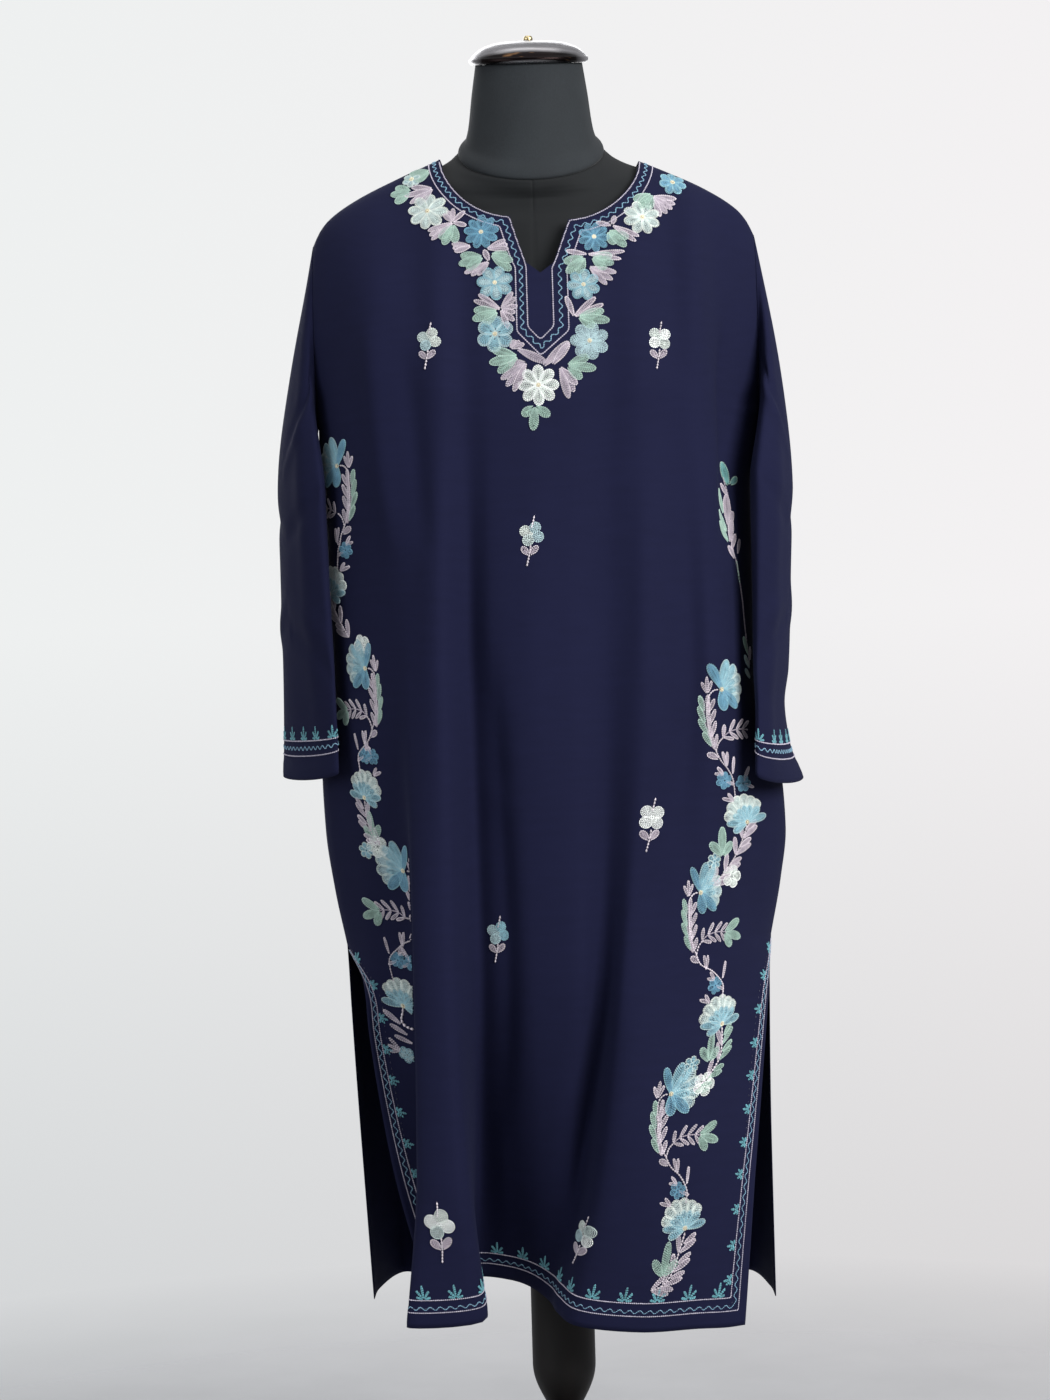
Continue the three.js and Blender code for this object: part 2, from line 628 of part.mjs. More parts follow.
// A shallow lid with a rolled rim and a slightly hollow top.
function capProfile() {
  const { radius, height, rim } = CAP;
  return [
    [0, 0],
    [radius - 2, 0],
    [radius, 2],
    [radius, rim],
    [radius - 1.6, rim + 1.4],
    [radius - 4, rim + 4],
    [radius - 11, rim + 10],
    [radius - 21, height - 3],
    [radius - 33, height - 0.8],
    [radius - 46, height],
    [0, height],
  ];
}

function knobProfile() {
  const { radius, height } = KNOB;
  return [
    [0, 0],
    [radius, 0],
    [radius, height * 0.5],
    [radius * 0.7, height * 0.9],
    [0, height],
  ];
}

function columnProfile() {
  const { radius, stem, shoulder, stemTop, hub, hubTop } = COLUMN;
  const bottom = BASE.height + SEAM_GAP;
  const top = TORSO.z[0] - SEAM_GAP;
  const turned = Array.from({ length: COLUMN_TURNING }, (_, i) => {
    const share = (i + 1) / COLUMN_TURNING;
    const height = mix(stemTop, shoulder, share);
    return [stem + (radius - stem) * Math.sin((share * Math.PI) / 2), height];
  });
  return [
    [0, bottom],
    [hub, bottom],
    [hub, hubTop - 8],
    [hub - 5, hubTop],
    [stem + 2, hubTop + 10],
    [stem, hubTop + 26],
    [stem, stemTop],
    ...turned,
    [radius, top],
    [0, top],
  ];
}

function baseProfile() {
  const { radius, height, edge, crown } = BASE;
  return [
    [0, 0],
    [radius - 3, 0],
    [radius, 3],
    [radius, height - edge - 4],
    [radius - 2.5, height - edge],
    [radius - 9, height - 5],
    [crown, height],
    [0, height],
  ];
}

// ---------------------------------------------------------------------------------------------------------------
// The whole
// ---------------------------------------------------------------------------------------------------------------

const wool = () => new THREE.MeshStandardMaterial({ color: COLOURS.wool, roughness: 0.95, metalness: 0 });
const jersey = () => new THREE.MeshStandardMaterial({ color: COLOURS.jersey, roughness: 0.9, metalness: 0 });
const wood = () => new THREE.MeshStandardMaterial({ color: COLOURS.wood, roughness: 0.35, metalness: 0 });

function part(name, geometry, material) {
  const mesh = new THREE.Mesh(geometry, material);
  mesh.name = name;
  return mesh;
}

const pheran = new THREE.Group();
pheran.add(part("front_panel", bodyPanel("front", FRONT_FOLDS, ["right", "left"], frontColumns()), wool()));
pheran.add(part("back_panel", bodyPanel("back", BACK_FOLDS, ["left", "right"], backColumns()), wool()));
pheran.add(part("right_sleeve", sleeve("right"), wool()));
pheran.add(part("left_sleeve", sleeve("left"), wool()));

const dressForm = new THREE.Group();
dressForm.add(part("form_torso", torsoGeometry(), jersey()));
dressForm.add(part("form_neck", neckGeometry(), jersey()));
const lid = new THREE.Group();
lid.position.set(0, NECK_TOP.y, NECK_TOP.z + SEAM_GAP);
lid.rotation.x = THREE.MathUtils.degToRad(NECK_TOP.tilt);
const capMaterial = new THREE.MeshStandardMaterial({ color: COLOURS.cap, roughness: 0.2, metalness: 1 });
lid.add(part("neck_cap", latheGeometry(capProfile(), AROUND.cap), capMaterial));
const knobMaterial = new THREE.MeshStandardMaterial({ color: COLOURS.knob, roughness: 0.4, metalness: 0.6 });
const knob = part("cap_knob", latheGeometry(knobProfile(), AROUND.knob), knobMaterial);
knob.position.z = CAP.height + SEAM_GAP;
lid.add(knob);
dressForm.add(lid);

const stand = new THREE.Group();
stand.add(part("stand_column", latheGeometry(columnProfile(), AROUND.column), wood()));
stand.add(part("stand_base", latheGeometry(baseProfile(), AROUND.base), wood()));

const whole = new THREE.Group();
whole.add(pheran, dressForm, stand);

export default whole;
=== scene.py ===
# A Kashmiri pheran on a dress form: the finished surfaces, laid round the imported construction.
#
# The cloth is worked out here with the same fold lines and girths as the construction's solids, only finer.
# Its tables and formulas are in millimetres, and meshes are made in metres. The garment faces -Y.

import copy
import math

import bpy
import numpy as np
from bpy.props import FloatProperty, FloatVectorProperty, IntProperty, PointerProperty
from mathutils import Matrix, Vector


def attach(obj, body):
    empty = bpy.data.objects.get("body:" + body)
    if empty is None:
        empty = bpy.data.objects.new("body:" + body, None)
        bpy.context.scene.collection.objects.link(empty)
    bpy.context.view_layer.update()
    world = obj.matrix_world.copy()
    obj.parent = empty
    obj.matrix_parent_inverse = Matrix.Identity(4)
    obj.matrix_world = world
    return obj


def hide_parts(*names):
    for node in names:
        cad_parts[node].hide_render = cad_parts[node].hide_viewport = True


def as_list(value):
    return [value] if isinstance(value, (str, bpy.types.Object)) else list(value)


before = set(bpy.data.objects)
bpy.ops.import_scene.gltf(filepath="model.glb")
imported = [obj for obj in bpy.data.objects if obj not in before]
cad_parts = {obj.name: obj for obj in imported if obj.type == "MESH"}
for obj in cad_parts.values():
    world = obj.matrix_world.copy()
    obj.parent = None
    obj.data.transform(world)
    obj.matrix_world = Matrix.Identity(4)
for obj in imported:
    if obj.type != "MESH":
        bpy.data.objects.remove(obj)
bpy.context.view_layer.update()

bl_info = {
    "name": "Pheran on a dress form",
    "version": (1, 0, 0),
    "blender": (4, 5, 0),
    "location": "View3D > Sidebar > Pheran",
    "description": "Builds an embroidered wool pheran on its dress form and stand, and a plain stage",
    "category": "Object",
}

MM = 0.001

# ---- Sizes of the garment

SEAM_GAP = 0.3
WALL = 1.4
EDGE_SOFTNESS = 0.22 * WALL
HEM_WIDTH = 17
HEM_STEP = 0.5
HEM = 330
LIFT_END = 480
SLIT_TOP = 685
UNDERARM = 1200
BUST = 1215
CHEST = 1292
SHOULDER_TIP = 1384
ARMHOLE_X = 220
ARMHOLE_SWELL = {"front": {"right": 30, "left": 20}, "back": {"right": 32, "left": 32}}
SHOULDER_LINE = {
    "x": [0, 60, 99, 132, 175, 203, 213, ARMHOLE_X],
    "z": [1496, 1481, 1464, 1450, 1429, 1410, 1398, SHOULDER_TIP],
}
NECK = {"middle": 8, "half_width": 99, "back_height": 1449, "front_roundness": 1.8, "back_roundness": 2}
NECK_SLIT = {"x": [-23, -16, -8.5, 5, 18, 26, 34], "top": [1395, 1370, 1346, 1335, 1345, 1368, 1390]}

# The fold lines: x and y at the hem, 480, the slit's top, 950 and the underarm, then the hem's lift.
GIRTHS = [HEM, LIFT_END, SLIT_TOP, 950, UNDERARM]
FRONT_FOLDS = {
    "right side swell": ([-109, -147, -184, -199, -202], [-77, -75, -40, -48, -52], 6),
    "valley under the great fold": ([-95, -105, -130, -150, -158], [-86, -86, -94, -98, -102], 8),
    "great fold, outer crest": ([-150, -136, -133, -129, -116], [-126, -132, -134, -120, -122], 0),
    "great fold, inner crest": ([-77, -93, -100, -100, -94], [-118, -147, -146, -137, -131], 2),
    "deep trough": ([-85, -78, -71, -71, -70], [-14, -48, -98, -107, -126], 22),
    "trough floor": ([-50, -51, -49, -52, -47], [-26, -66, -114, -124, -131], 21),
    "trough floor beside the stand": ([-29, -17, -18, -25, -18], [-46, -88, -126, -134, -133], 17),
    "middle": ([-13, 9, 25, 21, 29], [-70, -94, -129, -136, -133], 9),
    "middle trough": ([-6, 22, 49, 58, 66], [-102, -90, -112, -126, -129], 5),
    "left ridge": ([10, 42, 69, 94, 96], [-131, -142, -134, -136, -131], -1),
    "left trough": ([72, 86, 97, 138, 131], [-142, -150, -126, -106, -117], -7),
    "left swell": ([127, 133, 145, 159, 155], [-138, -141, -112, -106, -107], -6),
    "left side hollow": ([155, 166, 190, 187, 182], [-127, -118, -64, -70, -56], -8),
}
BACK_FOLDS = {
    "left side swell": ([214, 215, 216, 207, 204], [62, 58, 50, 48, 46], -11),
    "left corner": ([196, 198, 190, 178, 168], [142, 136, 112, 92, 80], -10),
    "left trough": ([150, 148, 142, 138, 128], [118, 116, 113, 104, 97], -8),
    "left ridge": ([100, 98, 96, 94, 92], [164, 156, 142, 124, 105], -9),
    "middle trough": ([48, 50, 52, 54, 54], [124, 122, 122, 113, 108], -6),
    "middle ridge": ([2, 6, 8, 10, 10], [162, 155, 144, 128, 111], -8),
    "right trough": ([-46, -42, -38, -36, -34], [120, 121, 124, 117, 110], -5),
    "right ridge": ([-96, -92, -88, -84, -80], [166, 157, 142, 124, 106], -6),
    "outer trough": ([-136, -134, -132, -128, -122], [128, 124, 116, 106, 98], -4),
    "right corner": ([-163, -168, -172, -170, -164], [148, 138, 114, 94, 80], -4),
    "right side swell": ([-187, -194, -201, -203, -204], [64, 60, 52, 48, 46], -3),
}
SEAMS = {
    "right": {
        "z": [SLIT_TOP, 740, 800, 860, 950, 1050, 1130, 1165, UNDERARM],
        "x": [-206, -217, -225, -227, -217, -217, -218, -220, -ARMHOLE_X],
        "y": [5, 10, 14, 14, 10, 6, 4, 2, 0],
    },
    "left": {
        "z": [SLIT_TOP, 740, 790, 850, 900, 950, 1050, 1130, 1165, UNDERARM],
        "x": [219, 231, 238, 235, 218, 211, 210, 210, 215, ARMHOLE_X],
        "y": [6, 14, 20, 22, 16, 8, 2, 0, 0, 0],
    },
}
SLIT_HEIGHTS = [HEM, 480, 640, SLIT_TOP]
SLITS = {
    "front": {
        "right": {
            "z": [HEM, 480, 600, 650, SLIT_TOP],
            "x": [-125, -163, -182, -188, -206],
            "y": [-84, -76, -56, -34, 5],
            "lift": 5,
        },
        "left": {"z": SLIT_HEIGHTS, "x": [173, 190, 212, 219], "y": [-118, -100, -40, 6], "lift": -8},
    },
    "back": {
        "right": {"z": SLIT_HEIGHTS, "x": [-189, -197, -204, -206], "y": [15, 13, 10, 5], "lift": -3},
        "left": {"z": SLIT_HEIGHTS, "x": [215, 215, 217, 219], "y": [15, 13, 11, 6], "lift": -11},
    },
}
FULLNESS = {"front": 1.5, "back": 2.5}
YOKE_BLEND = (120, 215)
SEAM_FADE = {"below": 60, "above": 15}
# The creases fade out over these distances from a piece's free sides, from its sides under the sleeves and
# from its top. The sides come to lie under the sleeves between two heights.
CREASE_FADE = {"side": 14, "under_sleeve": 55, "top": 16}
UNDER_SLEEVE = (800, 860)
BODY = {
    "front": {"folds": FRONT_FOLDS, "sides": ("right", "left"), "away": -1, "middle_fold": 8},
    "back": {"folds": BACK_FOLDS, "sides": ("left", "right"), "away": 1, "middle_fold": 6},
}

SLEEVES = {
    "right": {
        "out": -1,
        "z": [857, 897, 950, 1030, 1130],
        "x": [-236.5, -236, -236, -237, -238.5],
        "y": [-8, -8, -8, -8, -6],
        "length": [63, 62, 62, 62, 62],
        "width": [14, 14.5, 16, 18, 19],
        "lean": [28, 27, 25, 22, 20],
        "crease": [1, 2, 3, 4, 5],
        "cuff_drop": 6,
    },
    "left": {
        "out": 1,
        "z": [844, 880, 915, 950, 1030, 1130],
        "x": [228, 222.5, 221, 223, 226, 229],
        "y": [-38, -36, -34, -32, -28, -25],
        "length": [63, 62, 61, 62, 62, 62],
        "width": [14, 12, 11, 14, 17, 20],
        "lean": [24, 17, 15, 16, 15, 14],
        "crease": [1, 3, 3, 3, 4, 4],
        "cuff_drop": 8,
    },
}
CREASE_AT = 48
CREASE_SPREAD = 17
CUFF_FADE = 70
SLEEVE_HEAD = {"top": 1130, "out_low": 2.5, "out_high": 12, "leave": 0.25, "settle": 0.4}

# How finely the cloth is drawn. The body has its part's columns times the first number, then its rows up
# to the chest and above it. A sleeve has its columns, the rows of its head and those below.
BODY_GRID = {"density": 5, "levels": 186, "yoke": 38}
SLEEVE_GRID = {"around": 84, "head": 46, "levels": 64}
# How far the tables of the flat cloth reach: to each side of the garment's middle line, above the
# chest, and up from the cuff.
TABLE_REACH = {"side": 400, "yoke": 240, "cuff": 130}

# The dress form's torso as a stack of ovals, and the solids above and below it.
TORSO = {
    "z": [772, 790, 850, 940, 1040, 1120, 1210, 1290, 1350, 1392, 1412, 1426, 1437, 1448, 1460, 1471],
    "width": [146, 164, 170, 158, 122, 134, 150, 160, 172, 184, 186, 175, 151, 125.5, 92, 73.5],
    "front": [86, 100, 104, 98, 84, 98, 120, 104, 84, 70, 62, 62, 64, 67, 69, 70],
    "back": [98, 112, 118, 104, 78, 86, 96, 97, 90, 82, 74, 68, 64, 62, 63, 64],
    "dip": 9 * [0] + [2, 5, 11, 17, 22, 27, 30],
    "rise": 10 * [0] + [-4, -7, -6, -5, 3, 30],
    "roundness": 9 * [2.3] + [2.1, 1.6, 1.5, 1.45, 1.5, 1.75, 2],
}
NECK_TOP = {"y": -12, "z": 1558, "radius": 54.7, "tilt": 13, "roundness": 2}
NECK_SIDE = {
    "share": [0, 0.02, 0.06, 0.1, 0.15, 0.3, 0.66, 0.97, 1],
    "width": [72.2, 73, 72.2, 69.6, 65.6, 62, 57.8, 53.6, 53.2],
}
FORM_SEAM = {"depth": 0.7, "width": 1.1}
FORM_INSET = (3.0, 0.4)
SHOULDER_BASE = 1380
CAP = {"radius": 59.5, "height": 22, "rim": 5}
KNOB = {"radius": 4.6, "height": 5}
COLUMN = {"radius": 31.5, "stem": 17.5, "shoulder": 262, "stem_top": 222, "hub": 34, "hub_top": 58}
BASE = {"radius": 210, "height": 24, "edge": 8, "crown": 70}

# The camera stands level with the waist and is turned a little about its own line of sight.
CAMERA = {"x": -21, "y": -2700, "z": 925, "roll": 0.0275, "sensor": 36, "lens": 69.43}

# ---- Small mathematics


def through(stations, values, place):
    """Values on the smooth curve through the stations, never past them and level beyond the ends."""
    s = np.asarray(stations, float)
    v = np.asarray(values, float)
    secants = np.diff(v) / np.diff(s)
    before, after = secants[:-1], secants[1:]
    together = np.where(before * after > 0, before + after, 1)
    between = np.where(before * after > 0, 2 * before * after / together, 0)
    slopes = np.concatenate([secants[:1], between, secants[-1:]])
    p = np.clip(place, s[0], s[-1])
    i = np.clip(np.searchsorted(s, p, side="right") - 1, 0, len(s) - 2)
    step = s[i + 1] - s[i]
    t = (p - s[i]) / step
    start = v[i] * (1 + 2 * t) * (1 - t) ** 2 + slopes[i] * step * t * (1 - t) ** 2
    end = v[i + 1] * t * t * (3 - 2 * t) - slopes[i + 1] * step * t * t * (1 - t)
    return start + end


def named_rows(columns, *rows):
    """The rows of a table as dictionaries, by the names of its columns."""
    names = columns.split()
    return [dict(zip(names, row)) for row in rows]


def stack(*values):
    """Arrays side by side along a new last axis, such as x, y and z as points."""
    return np.stack(np.broadcast_arrays(*values), axis=-1)


def full_turn(count):
    return np.arange(count) / count * 2 * np.pi


def mix(a, b, share):
    return a + (b - a) * share


def ramp(start, end, place):
    t = np.clip((np.asarray(place, float) - start) / (end - start), 0, 1)
    return t * t * (3 - 2 * t)


def unit(vectors):
    return vectors / np.maximum(np.linalg.norm(vectors, axis=-1, keepdims=True), 1e-9)


def run_length(points, axis=0):
    """Distance travelled along a path, or along one axis of a grid of points, from 0."""
    steps = np.linalg.norm(np.diff(points, axis=axis), axis=-1)
    start = np.zeros_like(np.take(steps, [0], axis=axis))
    return np.concatenate([start, np.cumsum(steps, axis=axis)], axis=axis)


def srgb(red, green, blue):
    """A colour named in screen values from 0 to 255, as Blender's linear values."""
    shares = (red / 255, green / 255, blue / 255)
    return tuple(((c + 0.055) / 1.055) ** 2.4 if c > 10 / 255 else c / 12.92 for c in shares)


# ---- The front and the back


def shoulder_height(x):
    return through(SHOULDER_LINE["x"], SHOULDER_LINE["z"], np.abs(x))


def chest_share(x, z, fullness):
    """The share of its depth at the bust that the cloth keeps as it rises to the shoulder line."""
    sideways = ramp(*YOKE_BLEND, np.abs(x))
    start = mix(BUST, CHEST, sideways)
    power = mix(fullness, 2, sideways)
    share = np.clip((z - start) / (shoulder_height(x) - start), 0, 1)
    return np.maximum(0, 1 - share**power) ** (1 / power)


def wrapped(grid):
    """The grid of a tube with its first column again at its end."""
    return np.concatenate([grid, grid[:, :1]], axis=1)


def edge_points(piece, side, z):
    """One side edge of a body piece at the heights z: the open slit, the side seam, then the armhole."""
    away = BODY[piece]["away"]
    slit = SLITS[piece][side]
    seam = SEAMS[side]
    sewn = z >= SLIT_TOP
    x, y = (np.where(sewn, through(seam["z"], seam[n], z), through(slit["z"], slit[n], z)) for n in "xy")
    lift = slit["lift"] * (1 - ramp(HEM, LIFT_END, z))
    share = (z - CHEST) / (SHOULDER_TIP - CHEST)
    oval = away * ARMHOLE_SWELL[piece][side] * np.sqrt(np.maximum(0, 1 - share * share))
    armhole = z > UNDERARM
    x = np.where(armhole, -ARMHOLE_X if side == "right" else ARMHOLE_X, x)
    y = np.where(armhole, oval, y) + away * SEAM_GAP / 2
    return stack(x, y, np.where(armhole, z, z + lift))


def section_lines(piece, z):
    """The points that a body piece's level sections pass at the heights z, with a lead point at each end."""
    body = BODY[piece]
    lines = [edge_points(piece, body["sides"][0], z)]
    for x_line, y_line, lift in body["folds"].values():
        x = through(GIRTHS, x_line, z)
        y = through(GIRTHS, y_line, z) * chest_share(x, z, FULLNESS[piece])
        lines.append(stack(x, y, z + lift * (1 - ramp(HEM, LIFT_END, z))))
    lines.append(edge_points(piece, body["sides"][1], z))
    above_slit = ramp(SLIT_TOP - SEAM_FADE["below"], SLIT_TOP, z)
    sewn = (above_slit * (1 - ramp(UNDERARM, UNDERARM + SEAM_FADE["above"], z)))[:, None]

    def lead(edge, beside):
        mirrored = stack(beside[:, 0], 2 * edge[:, 1] - beside[:, 1], edge[:, 2])
        return mix(2 * edge - beside, mirrored, sewn)

    return np.stack([lead(lines[0], lines[1]), *lines, lead(lines[-1], lines[-2])], axis=1)


def sections(piece, z, shares):
    """Level sections at the heights z, each at the same shares of the way from edge to edge."""
    lines = section_lines(piece, np.asarray(z, float))
    last = lines.shape[1] - 3
    shares = np.asarray(shares, float)
    i = np.clip((shares * last).astype(int), 0, last - 1)
    t = (shares * last - i)[None, :, None]
    p0, p1, p2, p3 = (lines[:, i + k] for k in range(4))

    def spacing(a, b):
        return np.maximum(np.linalg.norm(b - a, axis=-1, keepdims=True), 1e-6) ** 0.5

    d0, d1, d2 = spacing(p0, p1), spacing(p1, p2), spacing(p2, p3)
    t1 = ((p1 - p0) / d0 - (p2 - p0) / (d0 + d1) + (p2 - p1) / d1) * d1
    t2 = ((p2 - p1) / d1 - (p3 - p1) / (d1 + d2) + (p3 - p2) / d2) * d1
    return p1 + t1 * t + (3 * (p2 - p1) - 2 * t1 - t2) * t**2 + (2 * (p1 - p2) + t1 + t2) * t**3


def oval_columns(side, inner, lowest, count, roundness, outwards):
    share = np.arange(count) / count
    share = 1 - share if outwards else share
    across = mix(1 - share, np.cos(share * np.pi / 2), 0.5)
    down = (1 - across**roundness) ** (1 / roundness)
    neck_point = shoulder_height(NECK["middle"] + side * NECK["half_width"])
    x = NECK["middle"] + side * mix(inner, NECK["half_width"], across)
    return x, mix(neck_point, lowest, down)


def even_columns(start, end, count):
    x = mix(start, end, np.arange(count) / count)
    return x, shoulder_height(x)


def body_columns(piece, density):
    """Where a body piece's columns stand at the chest, and the heights at which they end above it."""
    middle = NECK["middle"]
    low, high = middle - NECK["half_width"], middle + NECK["half_width"]
    if piece == "back":
        curve = (0, NECK["back_height"], 5 * density, NECK["back_roundness"])
        runs = [even_columns(ARMHOLE_X, high, 6 * density), oval_columns(1, *curve, False)]
        runs += [oval_columns(-1, *curve, True), even_columns(low, -ARMHOLE_X, 6 * density)]
        end = -ARMHOLE_X
    else:
        x, top = NECK_SLIT["x"], NECK_SLIT["top"]
        curve = (6 * density, NECK["front_roundness"])
        steps = np.arange((len(x) - 1) * density) / density
        stations = np.arange(len(x))
        runs = [even_columns(-ARMHOLE_X, low, 7 * density)]
        runs += [oval_columns(-1, middle - x[0], top[0], *curve, False)]
        runs += [(np.interp(steps, stations, x), np.interp(steps, stations, top))]
        runs += [oval_columns(1, x[-1] - middle, top[-1], *curve, True)]
        runs += [even_columns(high, ARMHOLE_X, 7 * density)]
        end = ARMHOLE_X
    x, top = zip(*runs)
    return np.concatenate([*x, [end]]), np.concatenate([*top, [SHOULDER_TIP]])


def chest_shares(piece, x):
    shares = np.linspace(0, 1, 4001)
    row = sections(piece, [CHEST], shares)[0, :, 0]
    if piece == "back":
        return np.interp(-x, -row, shares)
    return np.interp(x, row, shares)


def yoke_rows(piece, chest_row, x, top, shares):
    """The rows above the chest, up to the shoulder seam or the neckline."""
    half_gap = BODY[piece]["away"] * SEAM_GAP / 2
    z = mix(chest_row[None, :, 2], top[None, :], np.sin(np.asarray(shares)[:, None] * np.pi / 2))
    keep = chest_share(x[None, :], z, FULLNESS[piece]) / chest_share(x, CHEST, FULLNESS[piece])[None, :]
    y = (chest_row[None, :, 1] - half_gap) * keep + half_gap
    return stack(np.broadcast_to(x, z.shape), y, z)


# Soft creases laid over the main folds. Each runs down a line of cloth: u is its place from the garment's
# middle line at the heights v, and it is wide and high by the values after them. A hollow has a negative
# height.
CREASES = {}
CREASES["front"] = named_rows(
    "v u wide high",
    ([1000, 880, 680, 480], [-78, -76, -74, -74], 14, -8.0),
    ([1230, 1050, 900, 760], [-28, -32, -34, -30], 17, 1.3),
    ([1240, 1150, 1040, 900], [72, 66, 62, 58], 15, -2.2),
    ([1290, 1180, 1060, 940], [108, 112, 116, 122], 14, 2.2),
    ([1330, 1260, 1160, 1040], [196, 190, 184, 174], 14, -6.0),
    ([1320, 1240, 1150, 1040], [-200, -196, -190, -184], 14, 4.0),
    ([1290, 1215, 1130, 1040], [-164, -156, -150, -146], 12, -3.0),
    ([780, 640, 500, 380], [4, -2, -8, -14], 14, 1.4),
    ([960, 800, 640, 480], [112, 106, 92, 76], 16, 2.4),
    ([700, 600, 470, 350], [128, 132, 136, 140], 16, -2.4),
    ([640, 520, 420, 350], [196, 200, 206, 210], 14, 1.4),
)
CREASES["back"] = named_rows(
    "v u wide high",
    ([1380, 1280, 1180, 1050], [-150, -142, -132, -126], 13, -2.4),
    ([1380, 1280, 1160, 1040], [150, 140, 134, 130], 13, -2.2),
    ([1330, 1200, 1080, 900], [-40, -46, -48, -52], 18, 1.6),
    ([1330, 1220, 1060, 880], [36, 42, 46, 52], 16, -1.8),
    ([860, 700, 560, 420], [-120, -128, -134, -140], 16, 1.8),
    ([820, 680, 540, 400], [24, 20, 16, 10], 15, -2.0),
    ([840, 700, 560, 430], [168, 172, 178, 182], 16, 1.8),
)


def relief(creases, u, v):
    """How far the cloth stands out of its main folds: its soft creases and a faint unevenness."""
    high = 0.35 * np.sin(u / 31 + 1.7 * np.sin(v / 190)) * np.sin(v / 117 + 0.8 * np.sin(u / 83))
    for crease in creases:
        v_line = crease["v"][::-1]
        middle = through(v_line, crease["u"][::-1], v)
        span = v_line[-1] - v_line[0]
        fade = ramp(v_line[0], v_line[0] + 0.3 * span, v) * (1 - ramp(v_line[-1] - 0.3 * span, v_line[-1], v))
        high = high + crease["high"] * fade * np.exp(-(((u - middle) / crease["wide"]) ** 2))
    return high


def hem_step(from_edge):
    """How far the cloth stands out over its turned hem, at that distance from the edge."""
    return HEM_STEP * (1 - ramp(HEM_WIDTH - 1.5, HEM_WIDTH + 1.5, from_edge))


def grid_normals(grid, closed):
    """Unit normals of a grid of points, on the side from which its rows run left to right and its columns
    upwards."""
    if closed:
        along = np.roll(grid, -1, axis=1) - np.roll(grid, 1, axis=1)
    else:
        along = np.gradient(grid, axis=1)
    return unit(np.cross(along, np.gradient(grid, axis=0)))


class Cloth:
    """A piece of cloth: a grid of points for its mesh, and a table that places any spot of the flat cloth.

    u runs across the flat cloth and v up it, in millimetres. The table has one row for each v and one column
    for each u, both a step apart."""

    STEP = 3.0

    def __init__(self, grid, u, v, table, start, facing=1, closed=False):
        """facing is -1 where the rows run right to left as seen from outside. A closed cloth is a tube."""
        self.grid = grid
        self.u = u
        self.v = v
        self.table = table
        self.normals = grid_normals(table, closed) * facing
        self.start = np.array(start, float)
        self.facing = facing
        self.closed = closed

    def _blend(self, values, uv):
        rows, columns = values.shape[:2]
        across, up = ((uv - self.start) / self.STEP).T
        up = np.clip(up, 0, rows - 1.001)
        if self.closed:
            across = np.mod(across, columns)
            c0 = across.astype(int) % columns
            c1 = (c0 + 1) % columns
        else:
            across = np.clip(across, 0, columns - 1.001)
            c0 = across.astype(int)
            c1 = c0 + 1
        r0 = up.astype(int)
        s = (across - np.floor(across))[:, None]
        t = (up - r0)[:, None]
        low = mix(values[r0, c0], values[r0, c1], s)
        high = mix(values[r0 + 1, c0], values[r0 + 1, c1], s)
        return mix(low, high, t)

    def place(self, uv):
        return self._blend(self.table, np.asarray(uv, float))

    def normal(self, uv):
        return unit(self._blend(self.normals, np.asarray(uv, float)))

    def holds(self, uv):
        """Which of these spots lie on the cloth."""
        if self.closed:
            return np.ones(len(uv), bool)
        u, v = uv[:, 0], uv[:, 1]
        left, right = (np.interp(v, self.levels, edge) for edge in self.edges)
        top = np.interp(u, self.u[-1], self.v[-1])
        return (u > left) & (u < right) & (v > self.levels[0]) & (v < top)

    def spot(self, x, z):
        """The u and v of the foremost cloth at a place seen from the front."""
        away = (self.table[:, :, 0] - x) ** 2 + (self.table[:, :, 2] - z) ** 2
        near = away < 3 * min(away.min() + 4, 30)
        depth = np.where(near, self.table[:, :, 1] + 0.02 * away, np.inf)
        r, c = np.unravel_index(np.argmin(depth), depth.shape)
        uv = self.start[None, :] + np.array([[c, r]]) * self.STEP
        for _ in range(4):
            here = self.place(uv)[0]
            du = self.place(uv + [[1, 0]])[0] - here
            dv = self.place(uv + [[0, 1]])[0] - here
            slopes = np.array([[du[0], dv[0]], [du[2], dv[2]]])
            if abs(np.linalg.det(slopes)) < 0.05:
                break
            step = np.linalg.solve(slopes, [x - here[0], z - here[2]])
            uv = uv + np.clip(step, -6, 6)[None, :]
        return uv[0]


def resample(grid_u, values, u):
    """Each row of values, given at its own grid_u, at the same places u."""
    rows = []
    for row_u, row in zip(grid_u, values):
        rows.append(np.stack([np.interp(u, row_u, row[:, k]) for k in range(3)], axis=-1))
    return np.array(rows)


